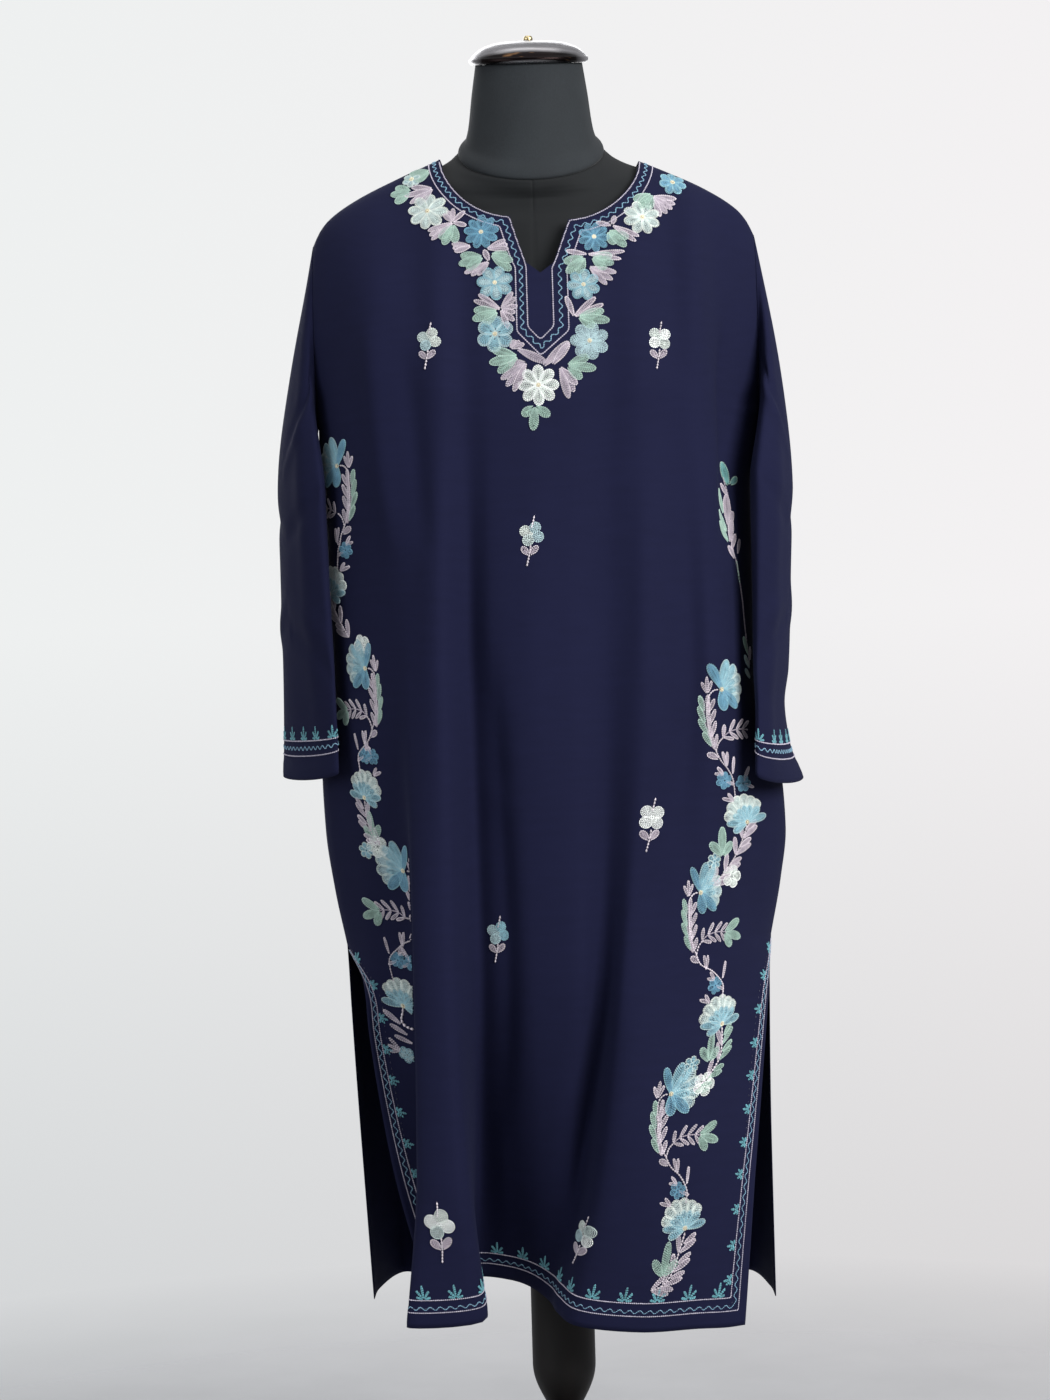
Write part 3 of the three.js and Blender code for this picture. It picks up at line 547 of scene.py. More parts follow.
def body_cloth(piece):
    """The front or the back as cloth. Its middle line is u = 0, and v is the height until the chest."""
    x, top = body_columns(piece, BODY_GRID["density"])
    shares = chest_shares(piece, x)
    middle = BODY[piece]["middle_fold"] / (len(BODY[piece]["folds"]) + 1)
    dense = np.linspace(0, 1, 901)

    def across(rows):
        length = run_length(rows, 1)
        return length - np.array([np.interp(middle, dense, row) for row in length])[:, None]

    z = np.unique(np.concatenate([np.linspace(HEM, CHEST, BODY_GRID["levels"]), [SLIT_TOP, UNDERARM]]))
    dense_u = across(sections(piece, z, dense))
    lower = sections(piece, z, shares)
    u_lower = np.array([np.interp(shares, dense, row) for row in dense_u])
    v_lower = np.broadcast_to(z[:, None], u_lower.shape)
    upper = yoke_rows(piece, lower[-1], x, top, np.linspace(0, 1, BODY_GRID["yoke"] + 1)[1:])
    v_upper = CHEST + run_length(np.concatenate([lower[-1:], upper]), 0)[1:]
    u_upper = np.broadcast_to(u_lower[-1], v_upper.shape)
    grid = np.concatenate([lower, upper])
    u = np.concatenate([u_lower, u_upper])
    v = np.concatenate([v_lower, v_upper])

    def stand_out(u_at, v_at):
        """The relief, gone at the sewn edges and beside the sleeves, with the turned hem under the open
        edges."""
        left, right = np.interp(v_at, z, dense_u[:, 0]), np.interp(v_at, z, dense_u[:, -1])
        inwards = np.maximum(np.minimum(u_at - left, right - u_at), 0)
        below = np.interp(u_at, u[-1], v[-1]) - v_at
        sewn = ramp(SLIT_TOP - SEAM_FADE["below"], SLIT_TOP, v_at)
        sleeved = ramp(*UNDER_SLEEVE, v_at)
        beside_sleeve = sleeved * ramp(0, CREASE_FADE["under_sleeve"], inwards)
        free = mix(1, mix(ramp(0, CREASE_FADE["side"], inwards), beside_sleeve, sleeved), sewn)
        open_edge = np.minimum(np.where(v_at < SLIT_TOP, inwards, 99), v_at - HEM)
        creased = relief(CREASES[piece], u_at, v_at) * free * ramp(0, CREASE_FADE["top"], below)
        return creased + hem_step(open_edge) * (1 - sewn)

    grid = grid + grid_normals(grid, False) * stand_out(u, v)[..., None]

    step = Cloth.STEP
    table_u = np.arange(1 - TABLE_REACH["side"], TABLE_REACH["side"], step)
    low_v = np.arange(HEM - step, CHEST + 1, step)
    rows = sections(piece, np.maximum(low_v, HEM), dense)
    rows[..., 2] += np.minimum(low_v - HEM, 0)[:, None]
    low_table = resample(across(rows), rows, table_u)
    chest_x = low_table[-1, :, 0]
    order = np.argsort(x)
    column_top = np.interp(chest_x, x[order], top[order])
    fine = yoke_rows(piece, low_table[-1], chest_x, column_top, np.linspace(0, 1, 121))
    rise = np.arange(step, TABLE_REACH["yoke"], step)
    high_table = resample(run_length(fine, 0).T, fine.transpose(1, 0, 2), rise).transpose(1, 0, 2)
    table = np.concatenate([low_table, high_table])
    uu, vv = np.meshgrid(table_u, np.concatenate([low_v, low_v[-1] + rise]))
    table = table + grid_normals(table, False) * stand_out(uu, vv)[..., None]
    cloth = Cloth(grid, u, v, table, (table_u[0], low_v[0]))
    cloth.levels = z
    cloth.edges = (dense_u[:, 0], dense_u[:, -1])
    neck = np.abs(x - NECK["middle"]) <= NECK["half_width"] + 0.01
    cloth.neckline = stack(u[-1][neck], v[-1][neck])
    return cloth


# ---- The sleeves


def sleeve_ring(side, z, turn):
    """Points of the hanging rings. A turn is 0 on the outer side, a quarter in front, a half by the body."""
    s = SLEEVES[side]
    rows = ("lean", "crease", "width", "length", "x", "y")
    lean, crease, width, length, middle_x, middle_y = (through(s["z"], s[name], z) for name in rows)
    lean = np.radians(lean)
    from_crease = (np.degrees(turn) - CREASE_AT) / CREASE_SPREAD
    crease = crease * np.exp(-from_crease * from_crease)
    across, forward = (width + crease) * np.cos(turn), (length + crease) * np.sin(turn)
    x = across * np.cos(lean) - forward * np.sin(lean)
    y = across * np.sin(lean) - forward * np.cos(lean)
    drop = s["cuff_drop"] * (1 - ramp(s["z"][0], s["z"][0] + CUFF_FADE, z)) * np.cos(turn)
    return stack(middle_x + s["out"] * x, middle_y + y, z - drop)


def sleeve_head(side, turn, share):
    """Points of the sleeve's head, from the armhole at share 0 to the first hanging ring at share 1."""
    out = SLEEVES[side]["out"]
    swell = np.where(np.sin(turn) > 0, ARMHOLE_SWELL["front"][side], ARMHOLE_SWELL["back"][side])
    half = SHOULDER_TIP - CHEST
    x = np.full_like(turn, out * (ARMHOLE_X + SEAM_GAP))
    start = stack(x, -swell * np.sin(turn), CHEST + half * np.cos(turn))
    end = sleeve_ring(side, np.full_like(turn, SLEEVE_HEAD["top"]), turn)
    fall = start[..., 2] - end[..., 2]
    thrown = mix(SLEEVE_HEAD["out_low"], SLEEVE_HEAD["out_high"], (1 + np.cos(turn)) / 2)
    zero = np.zeros_like(turn)
    leave = start + stack(out * thrown, zero, -SLEEVE_HEAD["leave"] * fall)
    arrive = end + stack(zero, zero, SLEEVE_HEAD["settle"] * fall)
    t = share[..., None]
    return start * (1 - t) ** 3 + 3 * leave * t * (1 - t) ** 2 + 3 * arrive * t * t * (1 - t) + end * t**3


# Soft creases of the sleeves, by height and by turn in degrees.
SLEEVE_CREASES = named_rows(
    "z slant turn wide long high",
    (1238, 0.9, 70, 9, 55, -2.7),
    (1205, 0.8, 55, 10, 60, 2.2),
    (1120, 0.5, 60, 12, 70, -1.9),
    (1010, -0.4, 40, 13, 60, 1.7),
    (975, -0.5, 50, 11, 60, -1.7),
    (1130, -0.6, 290, 13, 70, -2.4),
    (1000, 0.6, 300, 13, 60, 2.0),
)


def sleeve_relief(turn, z):
    """The sleeve's soft creases and faint unevenness, on the sides that face away from the body."""
    degrees = np.degrees(turn)
    high = 0.3 * np.sin(z / 47 + 2 * np.sin(turn)) * np.sin(3 * turn + z / 90)
    for c in SLEEVE_CREASES:
        along = degrees - c["turn"]
        off = z - c["z"] - c["slant"] * along
        high = high + c["high"] * np.exp(-((off / c["wide"]) ** 2) - (along / c["long"]) ** 2)
    return high * ramp(-0.35, 0.25, np.cos(turn))


def sleeve_grid(side, turns, head_shares, levels):
    """Rows of a sleeve from the cuff up to the armhole, and the distance of each point from the cuff."""
    turn, z = np.meshgrid(turns, levels)
    rows = sleeve_ring(side, z, turn)
    fade = np.ones(len(levels))
    if len(head_shares):
        turn, share = np.meshgrid(turns, head_shares)
        rows = np.concatenate([rows, sleeve_head(side, turn, share)])
        fade = np.concatenate([fade, ramp(0, 0.15, np.asarray(head_shares))])
    turn = np.broadcast_to(turns, rows.shape[:2])
    v = run_length(rows, 0)
    hem = hem_step(v) * ramp(-0.35, 0.25, np.cos(turn))
    out = sleeve_relief(turn, rows[..., 2]) * fade[:, None] + hem
    return rows - grid_normals(rows, True) * SLEEVES[side]["out"] * out[..., None], v


def sleeve_cloth(side):
    """A sleeve as a closed tube. v is the distance from the cuff, and u runs round from the outer side."""
    bottom = SLEEVES[side]["z"][0]
    levels = np.linspace(bottom, SLEEVE_HEAD["top"], SLEEVE_GRID["levels"])
    head_shares = np.linspace(1, 0, SLEEVE_GRID["head"] + 1)[1:]
    grid, v = sleeve_grid(side, full_turn(SLEEVE_GRID["around"]), head_shares, levels)
    u = run_length(wrapped(grid), 1)

    step = Cloth.STEP
    fine, fine_v = sleeve_grid(side, full_turn(720), [], np.linspace(bottom, bottom + 160, 81))
    fine = wrapped(fine)
    girth = run_length(fine, 1)
    count = int(girth[20, -1] // step)
    rows = resample(girth / girth[:, -1:], fine, np.arange(count) / count)
    down = np.broadcast_to(fine_v[:, :1], (len(fine_v), count)).T
    table = resample(down, rows.transpose(1, 0, 2), np.arange(0, TABLE_REACH["cuff"], step)).transpose(1, 0, 2)
    cloth = Cloth(grid, u, v, table, (0, 0), -SLEEVES[side]["out"], closed=True)
    cloth.girth = count * step
    return cloth


# ---- Meshes


def add_mesh(name, points, faces, material, uv=None):
    """A smooth mesh object from points in metres. uv holds one pair for each corner of each face."""
    mesh = bpy.data.meshes.new(name)
    mesh.from_pydata(points.tolist(), [], faces)
    if uv is not None:
        layer = mesh.uv_layers.new(name="Cloth")
        layer.uv.foreach_set("vector", np.asarray(uv, np.float32).ravel())
    mesh.polygons.foreach_set("use_smooth", np.ones(len(mesh.polygons), bool))
    mesh.update()
    obj = bpy.data.objects.new(name, mesh)
    bpy.context.scene.collection.objects.link(obj)
    mesh.materials.append(material)
    return obj


def seam_normals(cloth):
    """The normals, with those on sewn edges turned into the seam's plane, so that neighbours meet."""
    n = grid_normals(cloth.grid, cloth.closed) * cloth.facing
    if cloth.closed:
        n[-1, :, 0] = 0
        return unit(n)
    z = cloth.grid[:, 0, 2]
    side = (cloth.v[:, 0] >= SLIT_TOP - 0.1) & (cloth.v[:, 0] <= UNDERARM + 0.1)
    armhole = (cloth.v[:, 0] > UNDERARM + 0.1) & (z < SHOULDER_TIP - 0.1)
    shoulder = np.abs(cloth.grid[-1, :, 0] - NECK["middle"]) > NECK["half_width"] - SEAM_GAP
    for c in (0, -1):
        n[side, c, 1] = 0
        n[armhole, c, 0] = 0
    n[-1, shoulder, 1] = 0
    return unit(n)


def cloth_wall(name, cloth, material):
    """A closed wall of cloth: outer grid, inner grid and softened rims, with the flat cloth's UVs."""
    grid, closed = cloth.grid, cloth.closed
    rows, columns = grid.shape[:2]
    normals = seam_normals(cloth)
    edge = np.zeros((rows, columns, 1))
    edge[[0, -1]] = 1
    if not closed:
        edge[:, [0, -1]] = 1
    outer = grid - normals * edge * EDGE_SOFTNESS
    inner = grid - normals * (WALL - edge * EDGE_SOFTNESS)
    points = np.concatenate([outer.reshape(-1, 3), inner.reshape(-1, 3)]) * MM
    last = columns if closed else columns - 1
    u, v = cloth.u, cloth.v
    if closed:
        v = wrapped(v)
    shift = rows * columns

    def quads(r, c, dr, dc):
        """Corner numbers and UVs of the cells whose first corners are r, c."""
        corners = [(r, c), (r, c + dc), (r + dr, c + dc), (r + dr, c)]
        numbers = np.stack([rr * columns + cc % columns for rr, cc in corners], axis=-1)
        uvs = np.stack([stack(u[rr, cc], v[rr, cc]) for rr, cc in corners], axis=1)
        return numbers, uvs

    r, c = np.meshgrid(np.arange(rows - 1), np.arange(last), indexing="ij")
    front, front_uv = quads(r.ravel(), c.ravel(), 1, 1)
    faces = [front, front[:, ::-1] + shift]
    uv = [front_uv, front_uv[:, ::-1]]

    def rim(r, c, dr, dc, flip):
        """The strip between the two layers along an edge, from corners r, c on by dr, dc."""
        a = r * columns + c % columns
        b = (r + dr) * columns + (c + dc) % columns
        strip = stack(a, a + shift, b + shift, b)
        ua = stack(u[r, c], v[r, c])
        ub = stack(u[r + dr, c + dc], v[r + dr, c + dc])
        strip_uv = np.stack([ua, ua, ub, ub], axis=1)
        faces.append(strip[:, ::-1] if flip else strip)
        uv.append(strip_uv[:, ::-1] if flip else strip_uv)

    along = np.arange(last)
    rim(np.zeros_like(along), along, 0, 1, False)
    rim(np.full_like(along, rows - 1), along, 0, 1, True)
    if not closed:
        up = np.arange(rows - 1)
        rim(up, np.zeros_like(up), 1, 0, True)
        rim(up, np.full_like(up, columns - 1), 1, 0, False)
    faces = np.concatenate(faces)
    uv = np.concatenate(uv)
    if cloth.facing < 0:
        faces = faces[:, ::-1]
        uv = uv[:, ::-1]
    return add_mesh(name, points, faces.tolist(), material, uv * MM)


def ring_solid(name, rings, material):
    """A solid through rings with the same number of points, each end closed towards its middle."""
    rings = np.asarray(rings)
    bottom, top = rings[0].mean(0), rings[-1].mean(0)
    lower = [mix(rings[0], bottom, s) for s in (0.88, 0.45)]
    upper = [mix(rings[-1], top, s) for s in (0.45, 0.88)]
    layers = np.concatenate([lower, rings, upper])
    rows, columns = layers.shape[:2]
    r, c = np.meshgrid(np.arange(rows - 1), np.arange(columns), indexing="ij")
    r, c = r.ravel(), c.ravel()
    n = (c + 1) % columns
    quads = stack(r * columns + c, r * columns + n, (r + 1) * columns + n, (r + 1) * columns + c)
    points = np.concatenate([layers.reshape(-1, 3), [bottom, top]]) * MM
    faces = quads.tolist()
    low, high = rows * columns, rows * columns + 1
    last = (rows - 1) * columns
    for i in range(columns):
        j = (i + 1) % columns
        faces.append([low, j, i])
        faces.append([high, last + i, last + j])
    return add_mesh(name, points, faces, material)


def lathe(name, profile, segments, material, place=None):
    """A turned solid from a profile of radius and height, read upwards. place carries it elsewhere."""
    turn = full_turn(segments)
    rings = [stack(r * np.cos(turn), r * np.sin(turn), np.full(segments, h)) for r, h in profile]
    rings = np.array(rings, float)
    if place is not None:
        rings = rings @ place[:3, :3].T + place[:3, 3]
    return ring_solid(name, rings, material)


def rounded(profile, reach, steps):
    """The profile with each inner corner replaced by a short curve within reach of it."""
    points = [np.array(p, float) for p in profile]
    out = [points[0]]
    for before, here, after in zip(points, points[1:], points[2:]):
        near = min(reach, 0.4 * np.linalg.norm(here - before), 0.4 * np.linalg.norm(after - here))
        start = here + unit(before - here) * near
        end = here + unit(after - here) * near
        for t in np.linspace(0, 1, steps):
            out.append(start * (1 - t) ** 2 + 2 * here * t * (1 - t) + end * t * t)
    out.append(points[-1])
    return out


# ---- Chain stitch

# A link's length, the pitch of its rows, and how much larger a motif may be drawn where the cloth is seen
# at a slant.
STITCH = 2.0
ROW_PITCH = 1.15
MOST_GROWTH = 1.8
# Each line of stitches has a tone of its own, from the first value up by as much as the second. A line's
# tone steps on from the one before by the third, so that neighbours differ.
TONES = (0.84, 0.34, 0.618)


def even_path(points, step):
    """The same path with points an even step apart, as near as its length allows."""
    length = run_length(points)
    count = max(int(round(length[-1] / step)), 1)
    at = np.linspace(0, length[-1], count + 1)
    return np.stack([np.interp(at, length, points[:, k]) for k in range(points.shape[1])], axis=-1)


def smooth_path(points):
    """A curve through a few points, with ten steps between two of them."""
    p = np.asarray(points, float)
    p = np.concatenate([[2 * p[0] - p[1]], p, [2 * p[-1] - p[-2]]])
    t = (np.arange(10) / 10)[:, None]
    out = []
    for a, b, c, d in zip(p, p[1:], p[2:], p[3:]):
        out.append(b + 0.5 * t * (c - a + t * (2 * a - 5 * b + 4 * c - d + t * (3 * b - a - 3 * c + d))))
    return np.concatenate(out + [p[-2:-1]])


def heading(degrees):
    """The direction at that many degrees clockwise from upwards."""
    a = np.radians(degrees)
    return np.array([np.sin(a), np.cos(a)])


class Design:
    """Lines of chain stitch on a piece of cloth, drawn in millimetres about a spot of it.

    hidden says of places in space whether a fold covers them, so that no stitch is set there. A design made
    beside another adds its lines to the same list."""

    def __init__(self, cloth, hidden=None):
        self.cloth = cloth
        self.hidden = hidden
        self.flat_from = -1000.0
        self.lines = []
        self.move((0, 0))

    def move(self, uv, turn=0, mirror=1, grow=(1, 1)):
        """Draws from here on about this spot of the cloth, turned clockwise."""
        self.at = np.asarray(uv, float)
        self.turn = turn
        self.mirror = mirror
        self.grow = np.asarray(grow, float)
        self.seen_at = (0.0, 0.0)
        self.spread = 1.0

    def face(self, x, z, turn=0, mirror=1, spread=1.0):
        """Draws about the spot of cloth that stands at x, z, and larger where the cloth is seen at a
        slant."""
        spot = self.cloth.spot(x, z)
        sideways = self.cloth.place([spot + [4, 0]]) - self.cloth.place([spot - [4, 0]])
        upwards = self.cloth.place([spot + [0, 4]]) - self.cloth.place([spot - [0, 4]])
        seen = np.abs([sideways[0, 0], upwards[0, 2]]) / 8
        self.move(spot, turn, mirror, np.clip(1 / np.maximum(seen, 0.1), 1, MOST_GROWTH) * [spread, 1])
        self.seen_at = (x, z)
        self.spread = spread

    def seen_beside(self, x, y, turn=0):
        """A design about a place given in millimetres as seen from the front, and set to look right there."""
        at_x, at_z = self.seen_at
        place = at_x + self.mirror * self.spread * x
        flat = max(place, self.flat_from) if self.mirror > 0 else min(place, self.flat_from)
        inner = copy.copy(self)
        inner.face(flat, at_z + y, 0, self.mirror, self.spread)
        found = inner.beside((place - flat) * self.mirror, 0, turn + self.mirror * self.turn)
        found.seen_at = (place, at_z + y)
        found.spread = self.spread
        return found

    def seen_line(self, points, colour, size, lift=0.0):
        """A line through points given in millimetres as seen from the front."""
        at_x, at_z = self.seen_at
        spots = [self.cloth.spot(at_x + self.mirror * self.spread * x, at_z + y) for x, y in points]
        self.lines.append((smooth_path(spots), colour, size, lift))

    def beside(self, x, y, turn=0):
        """The same design about a place within its own frame, turned within it."""
        inner = copy.copy(self)
        inner.move(self.on_cloth([[x, y]])[0], self.turn + self.mirror * turn, self.mirror, self.grow)
        return inner

    def on_cloth(self, points):
        p = np.asarray(points, float) * [self.mirror, 1]
        side, up = heading(self.turn + 90), heading(self.turn)
        return self.at + (p[:, :1] * side + p[:, 1:] * up) * self.grow

    def line(self, points, colour, size, lift=0.0):
        self.lines.append((self.on_cloth(points), colour, size, lift))

    def ring(self, radius, colour, lift):
        turn = np.linspace(0, 2 * np.pi, 25)
        self.line(radius * stack(np.sin(turn), np.cos(turn)), colour, 1.0, lift)

    def eye(self):
        """The knot of cream thread in the middle of a flower."""
        self.ring(1.9, "cream", 0.75)
        self.ring(0.8, "cream", 0.95)

    def petal(self, turn, start, end, width, edge, heart, peak, lift=0.0, edge_rows=1, base=0.2):
        """A petal or leaf filled with rows of stitches, one inside another, from start to end along its turn.

        width is half its breadth, peak is where along it that comes, and base is its share at the start. Its
        outer rows, as many as edge_rows says, are in the edge's colour, and the rest in the heart's."""
        along = heading(turn)
        side = np.array([along[1], -along[0]])
        q = np.linspace(0, 1, 26)
        rise = base + (1 - base) * np.sin(np.pi / 2 * np.minimum(q / peak, 1))
        fall = np.sqrt(np.maximum(0, 1 - ((q - peak) / (1 - peak)) ** 2))
        profile = np.where(q < peak, rise, fall)
        pitch = ROW_PITCH / np.linalg.norm(self.on_cloth([side])[0] - self.at)
        inset, row = pitch / 2, 0
        while width - inset > -pitch / 3:
            first, last = start + inset, end - inset
            if last - first < STITCH * 0.5:
                break
            colour = edge if row < edge_rows else heart
            spine = np.outer(first + (last - first) * q, along)
            reach = width - inset
            if reach < pitch / 3:
                self.line(spine[2:-2], colour, 1.0, lift)
                break
            out = np.outer(reach * profile, side)
            self.line(np.concatenate([spine + out, (spine - out)[::-1]]), colour, 1.0, lift)
            inset += pitch
            row += 1

    def links(self):
        """The place, direction, upward normal, colour and size of every link."""
        found = []
        for i, (points, colour, size, lift) in enumerate(self.lines):
            tone = TONES[0] + TONES[1] * ((TONES[2] * i) % 1)
            uv = even_path(points, STITCH * size)
            middle = (uv[1:] + uv[:-1]) / 2
            keep = self.cloth.holds(middle)
            upward = self.cloth.normal(middle)
            place = self.cloth.place(middle) + upward * lift
            along = self.cloth.place(uv[1:]) - self.cloth.place(uv[:-1])
            length = np.linalg.norm(along, axis=1)
            keep &= length > 0.4 * STITCH * size
            if self.hidden is not None:
                keep &= ~self.hidden(place)
            tint = [*(tone * value for value in srgb(*THREADS[colour])), 1.0]
            same = np.tile([*tint, size], (len(middle), 1))
            found.append(np.concatenate([place, unit(along), upward, same], axis=1)[keep])
        return np.concatenate(found)


def link_mesh():
    """One link as a small closed loop of thread, drawn in a box one long, one wide and one high."""
    outline = [(-0.5, 0.0), (0.2, -0.5), (0.56, 0.0), (0.2, 0.5)]
    points = [(x, y, 0.0) for x, y in outline]
    points += [(0.6 * x + 0.03, 0.6 * y, 1.0) for x, y in outline]
    faces = [(3, 2, 1, 0), (4, 5, 6, 7)]
    for i in range(4):
        j = (i + 1) % 4
        faces.append((i, j, 4 + j, 4 + i))
    mesh = bpy.data.meshes.new("Link")
    mesh.from_pydata(points, [], faces)
    mesh.polygons.foreach_set("use_smooth", np.ones(len(faces), bool))
    return bpy.data.objects.new("Link", mesh)


STITCH_SOCKETS = {"Stitches": "Geometry", "Link": "Object", "Thread": "Material", "Seed": "Int"}
STITCH_SOCKETS.update(dict.fromkeys(("Length", "Width", "Height", "Unevenness"), "Float"))


def stitch_tree():
    """Geometry nodes that set one link on each point, along the thread and upright on the cloth."""
    tree = bpy.data.node_groups.new("Chain stitches", "GeometryNodeTree")
    for name, kind in STITCH_SOCKETS.items():
        tree.interface.new_socket(name, in_out="INPUT", socket_type=f"NodeSocket{kind}")
    tree.interface.new_socket("Stitches", in_out="OUTPUT", socket_type="NodeSocketGeometry")
    graph = Graph(tree)
    given = graph.add("NodeGroupInput").outputs
    link = graph.add("GeometryNodeObjectInfo", {"Object": given["Link"]})

    def attribute(name, kind):
        node = graph.add("GeometryNodeInputNamedAttribute", {"Name": name}, data_type=kind)
        return next(s for s in node.outputs if s.enabled and s.name == "Attribute")

    up, along = attribute("up", "FLOAT_VECTOR"), attribute("along", "FLOAT_VECTOR")
    axes = {"Primary Axis": up, "Secondary Axis": along}
    turned = graph.add("FunctionNodeAxesToRotation", axes, primary_axis="Z", secondary_axis="X")
    uneven = given["Unevenness"]
    least = graph.maths("SUBTRACT", 1.0, uneven)
    most = graph.plus(1.0, uneven)
    swing = graph.maths("SUBTRACT", 0.0, uneven)

    def chance(low, high, shift):
        seed = graph.add("FunctionNodeIntegerMath", {0: given["Seed"], 1: shift}, operation="ADD").outputs[0]
        node = graph.add("FunctionNodeRandomValue", {"Seed": seed}, data_type="FLOAT")
        floats = [s for s in node.inputs if s.enabled and s.name in ("Min", "Max")]
        for socket, value in zip(floats, (low, high)):
            graph.give(socket, value)
        return next(s for s in node.outputs if s.enabled)

    size = attribute("size", "FLOAT")
    scales = []
    for shift, name in enumerate(("Length", "Width", "Height")):
        scales.append(graph.times(graph.times(given[name], size), chance(least, most, shift)))
    scale = graph.add("ShaderNodeCombineXYZ", dict(enumerate(scales))).outputs[0]
    yaw = graph.add("ShaderNodeCombineXYZ", {2: chance(swing, uneven, 3)}).outputs[0]
    euler = graph.add("FunctionNodeEulerToRotation", {0: yaw}).outputs[0]
    both = {0: turned.outputs[0], 1: euler}
    rotation = graph.add("FunctionNodeRotateRotation", both, rotation_space="LOCAL").outputs[0]
    inputs = {"Points": given["Stitches"], "Instance": link.outputs["Geometry"]}
    inputs.update({"Rotation": rotation, "Scale": scale})
    placed = graph.add("GeometryNodeInstanceOnPoints", inputs)
    real = graph.add("GeometryNodeRealizeInstances", {0: placed.outputs[0]})
    dressed = graph.add("GeometryNodeSetMaterial", {"Geometry": real.outputs[0], "Material": given["Thread"]})
    graph.add("NodeGroupOutput", {0: dressed.outputs[0]})
    return tree


def stitched_piece(name, designs, settings, thread):
    """A mesh of every link of the designs."""
    rows = np.concatenate([design.links() for design in designs])
    mesh = bpy.data.meshes.new(name)
    mesh.from_pydata((rows[:, :3] * MM).tolist(), [], [])
    for title, kind, field, values in (
        ("along", "FLOAT_VECTOR", "vector", rows[:, 3:6]),
        ("up", "FLOAT_VECTOR", "vector", rows[:, 6:9]),
        ("shade", "FLOAT_COLOR", "color", rows[:, 9:13]),
        ("size", "FLOAT", "value", rows[:, 13]),
    ):
        layer = mesh.attributes.new(title, kind, "POINT")
        layer.data.foreach_set(field, np.ascontiguousarray(values, np.float32).ravel())
    obj, link = bpy.data.objects.new(name, mesh), link_mesh()
    for made in (obj, link):
        bpy.context.scene.collection.objects.link(made)
    tree = stitch_tree()
    modifier = obj.modifiers.new("Chain stitches", "NODES")
    modifier.node_group = tree
    values = {"Link": link, "Unevenness": settings.unevenness, "Seed": settings.seed, "Thread": thread}
    sizes = (settings.link_length, settings.link_width, settings.link_height)
    values.update(zip(("Length", "Width", "Height"), sizes))
    for item in tree.interface.items_tree:
        if item.in_out == "INPUT" and item.name in values:
            modifier[item.identifier] = values[item.name]
    bpy.context.view_layer.update()
    graph = bpy.context.evaluated_depsgraph_get()
    worked = obj.evaluated_get(graph)
    made = bpy.data.meshes.new_from_object(worked, preserve_all_data_layers=True, depsgraph=graph)
    obj.modifiers.clear()
    obj.data = made
    made.name = name
    bpy.data.meshes.remove(mesh)
    bpy.data.node_groups.remove(tree)
    bpy.data.objects.remove(link, do_unlink=True)
    return obj


# ---- Motifs

THREADS = {
    "white": (236, 241, 237),
    "ice": (208, 217, 210),
    "pale": (188, 204, 200),
    "sky": (166, 192, 196),
    "aqua": (130, 174, 186),
    "blue": (102, 152, 174),
    "deep_blue": (82, 132, 157),
    "mint": (167, 194, 182),
    "mint_shade": (142, 171, 158),
    "teal": (98, 152, 150),
    "mauve": (202, 193, 200),
    "mauve_shade": (170, 160, 171),
    "cream": (226, 216, 184),
    "wave": (118, 158, 180),
    "sprig": (90, 150, 160),
    "lilac": (190, 184, 200),
    "navy": (30, 33, 60),
}
MINT = ("mint", "mint_shade")
MAUVE = ("mauve", "mauve_shade")


def petals_round(design, radius, petals, width, colours, twist, lift, *form):
    """Petals round a flower's middle, every second one lifted. form is their rows in the edge's colour and
    the share of their width at the start."""
    for i in range(petals):
        design.petal(twist + 360 * i / petals, 0, radius, width, *colours, 0.66, lift * (i % 2), *form)


def rosette(design, radius, petals, edge, heart, twist):
    width = 1.1 * np.pi * 0.64 * radius / petals
    petals_round(design, radius, petals, width, (edge, heart), twist, 0.3, 2, 0.3)
    design.eye()


def fan(design, colours, width, lobes, lift=0.0):
    """Leaves spreading from one spot. Each is its turn and its reach."""
    for i, (turn, reach) in enumerate(lobes):
        design.petal(turn, 0.5, reach, width, *colours, 0.58, lift + 0.25 * (i % 2))


def plume(design, path, left, right, reach, width, gap, lean):
    """A curved stem with a row of narrow leaves on each side, which point back along it."""
    curve = smooth_path(path)
    design.line(curve, "mauve_shade", 1.1)
    stations = even_path(curve, gap)
    for i, (before, here) in enumerate(zip(stations, stations[1:])):
        way = before - here
        turn = np.degrees(np.arctan2(way[0], way[1]))
        long = reach * (0.82 + 0.18 * np.sin(np.pi * (i + 0.5) / (len(stations) - 1)))
        for colours, side in ((left, -1), (right, 1)):
            if colours is not None:
                leaf = design.beside(*here, turn + side * lean)
                leaf.petal(0, 0.4, long, width, *colours, 0.56, 0.25 * (i % 2))


def great_flower(design):
    """A side view of an open flower: scalloped pale petals behind, long blue ones in front."""
    for turn, end in ((42, 30), (66, 30), (90, 29), (114, 27)):
        design.petal(turn, 12, end, 6.0, "pale", "sky", 0.66, 0.0, 2)
    for turn, end, width in ((14, 30, 5.6), (36, 30, 5.0), (64, 20, 4.6), (92, 20, 4.6)):
        design.petal(turn, 0.5, end, width, "sky", "aqua", 0.62, 0.3, 1, 0.35)
    for turn, end, width in ((-22, 27, 4.2), (132, 27, 5.4), (172, 21, 5.6)):
        design.petal(turn, 0.5, end, width, "aqua", "blue", 0.6, 0.55, 1, 0.3)
    design.eye()


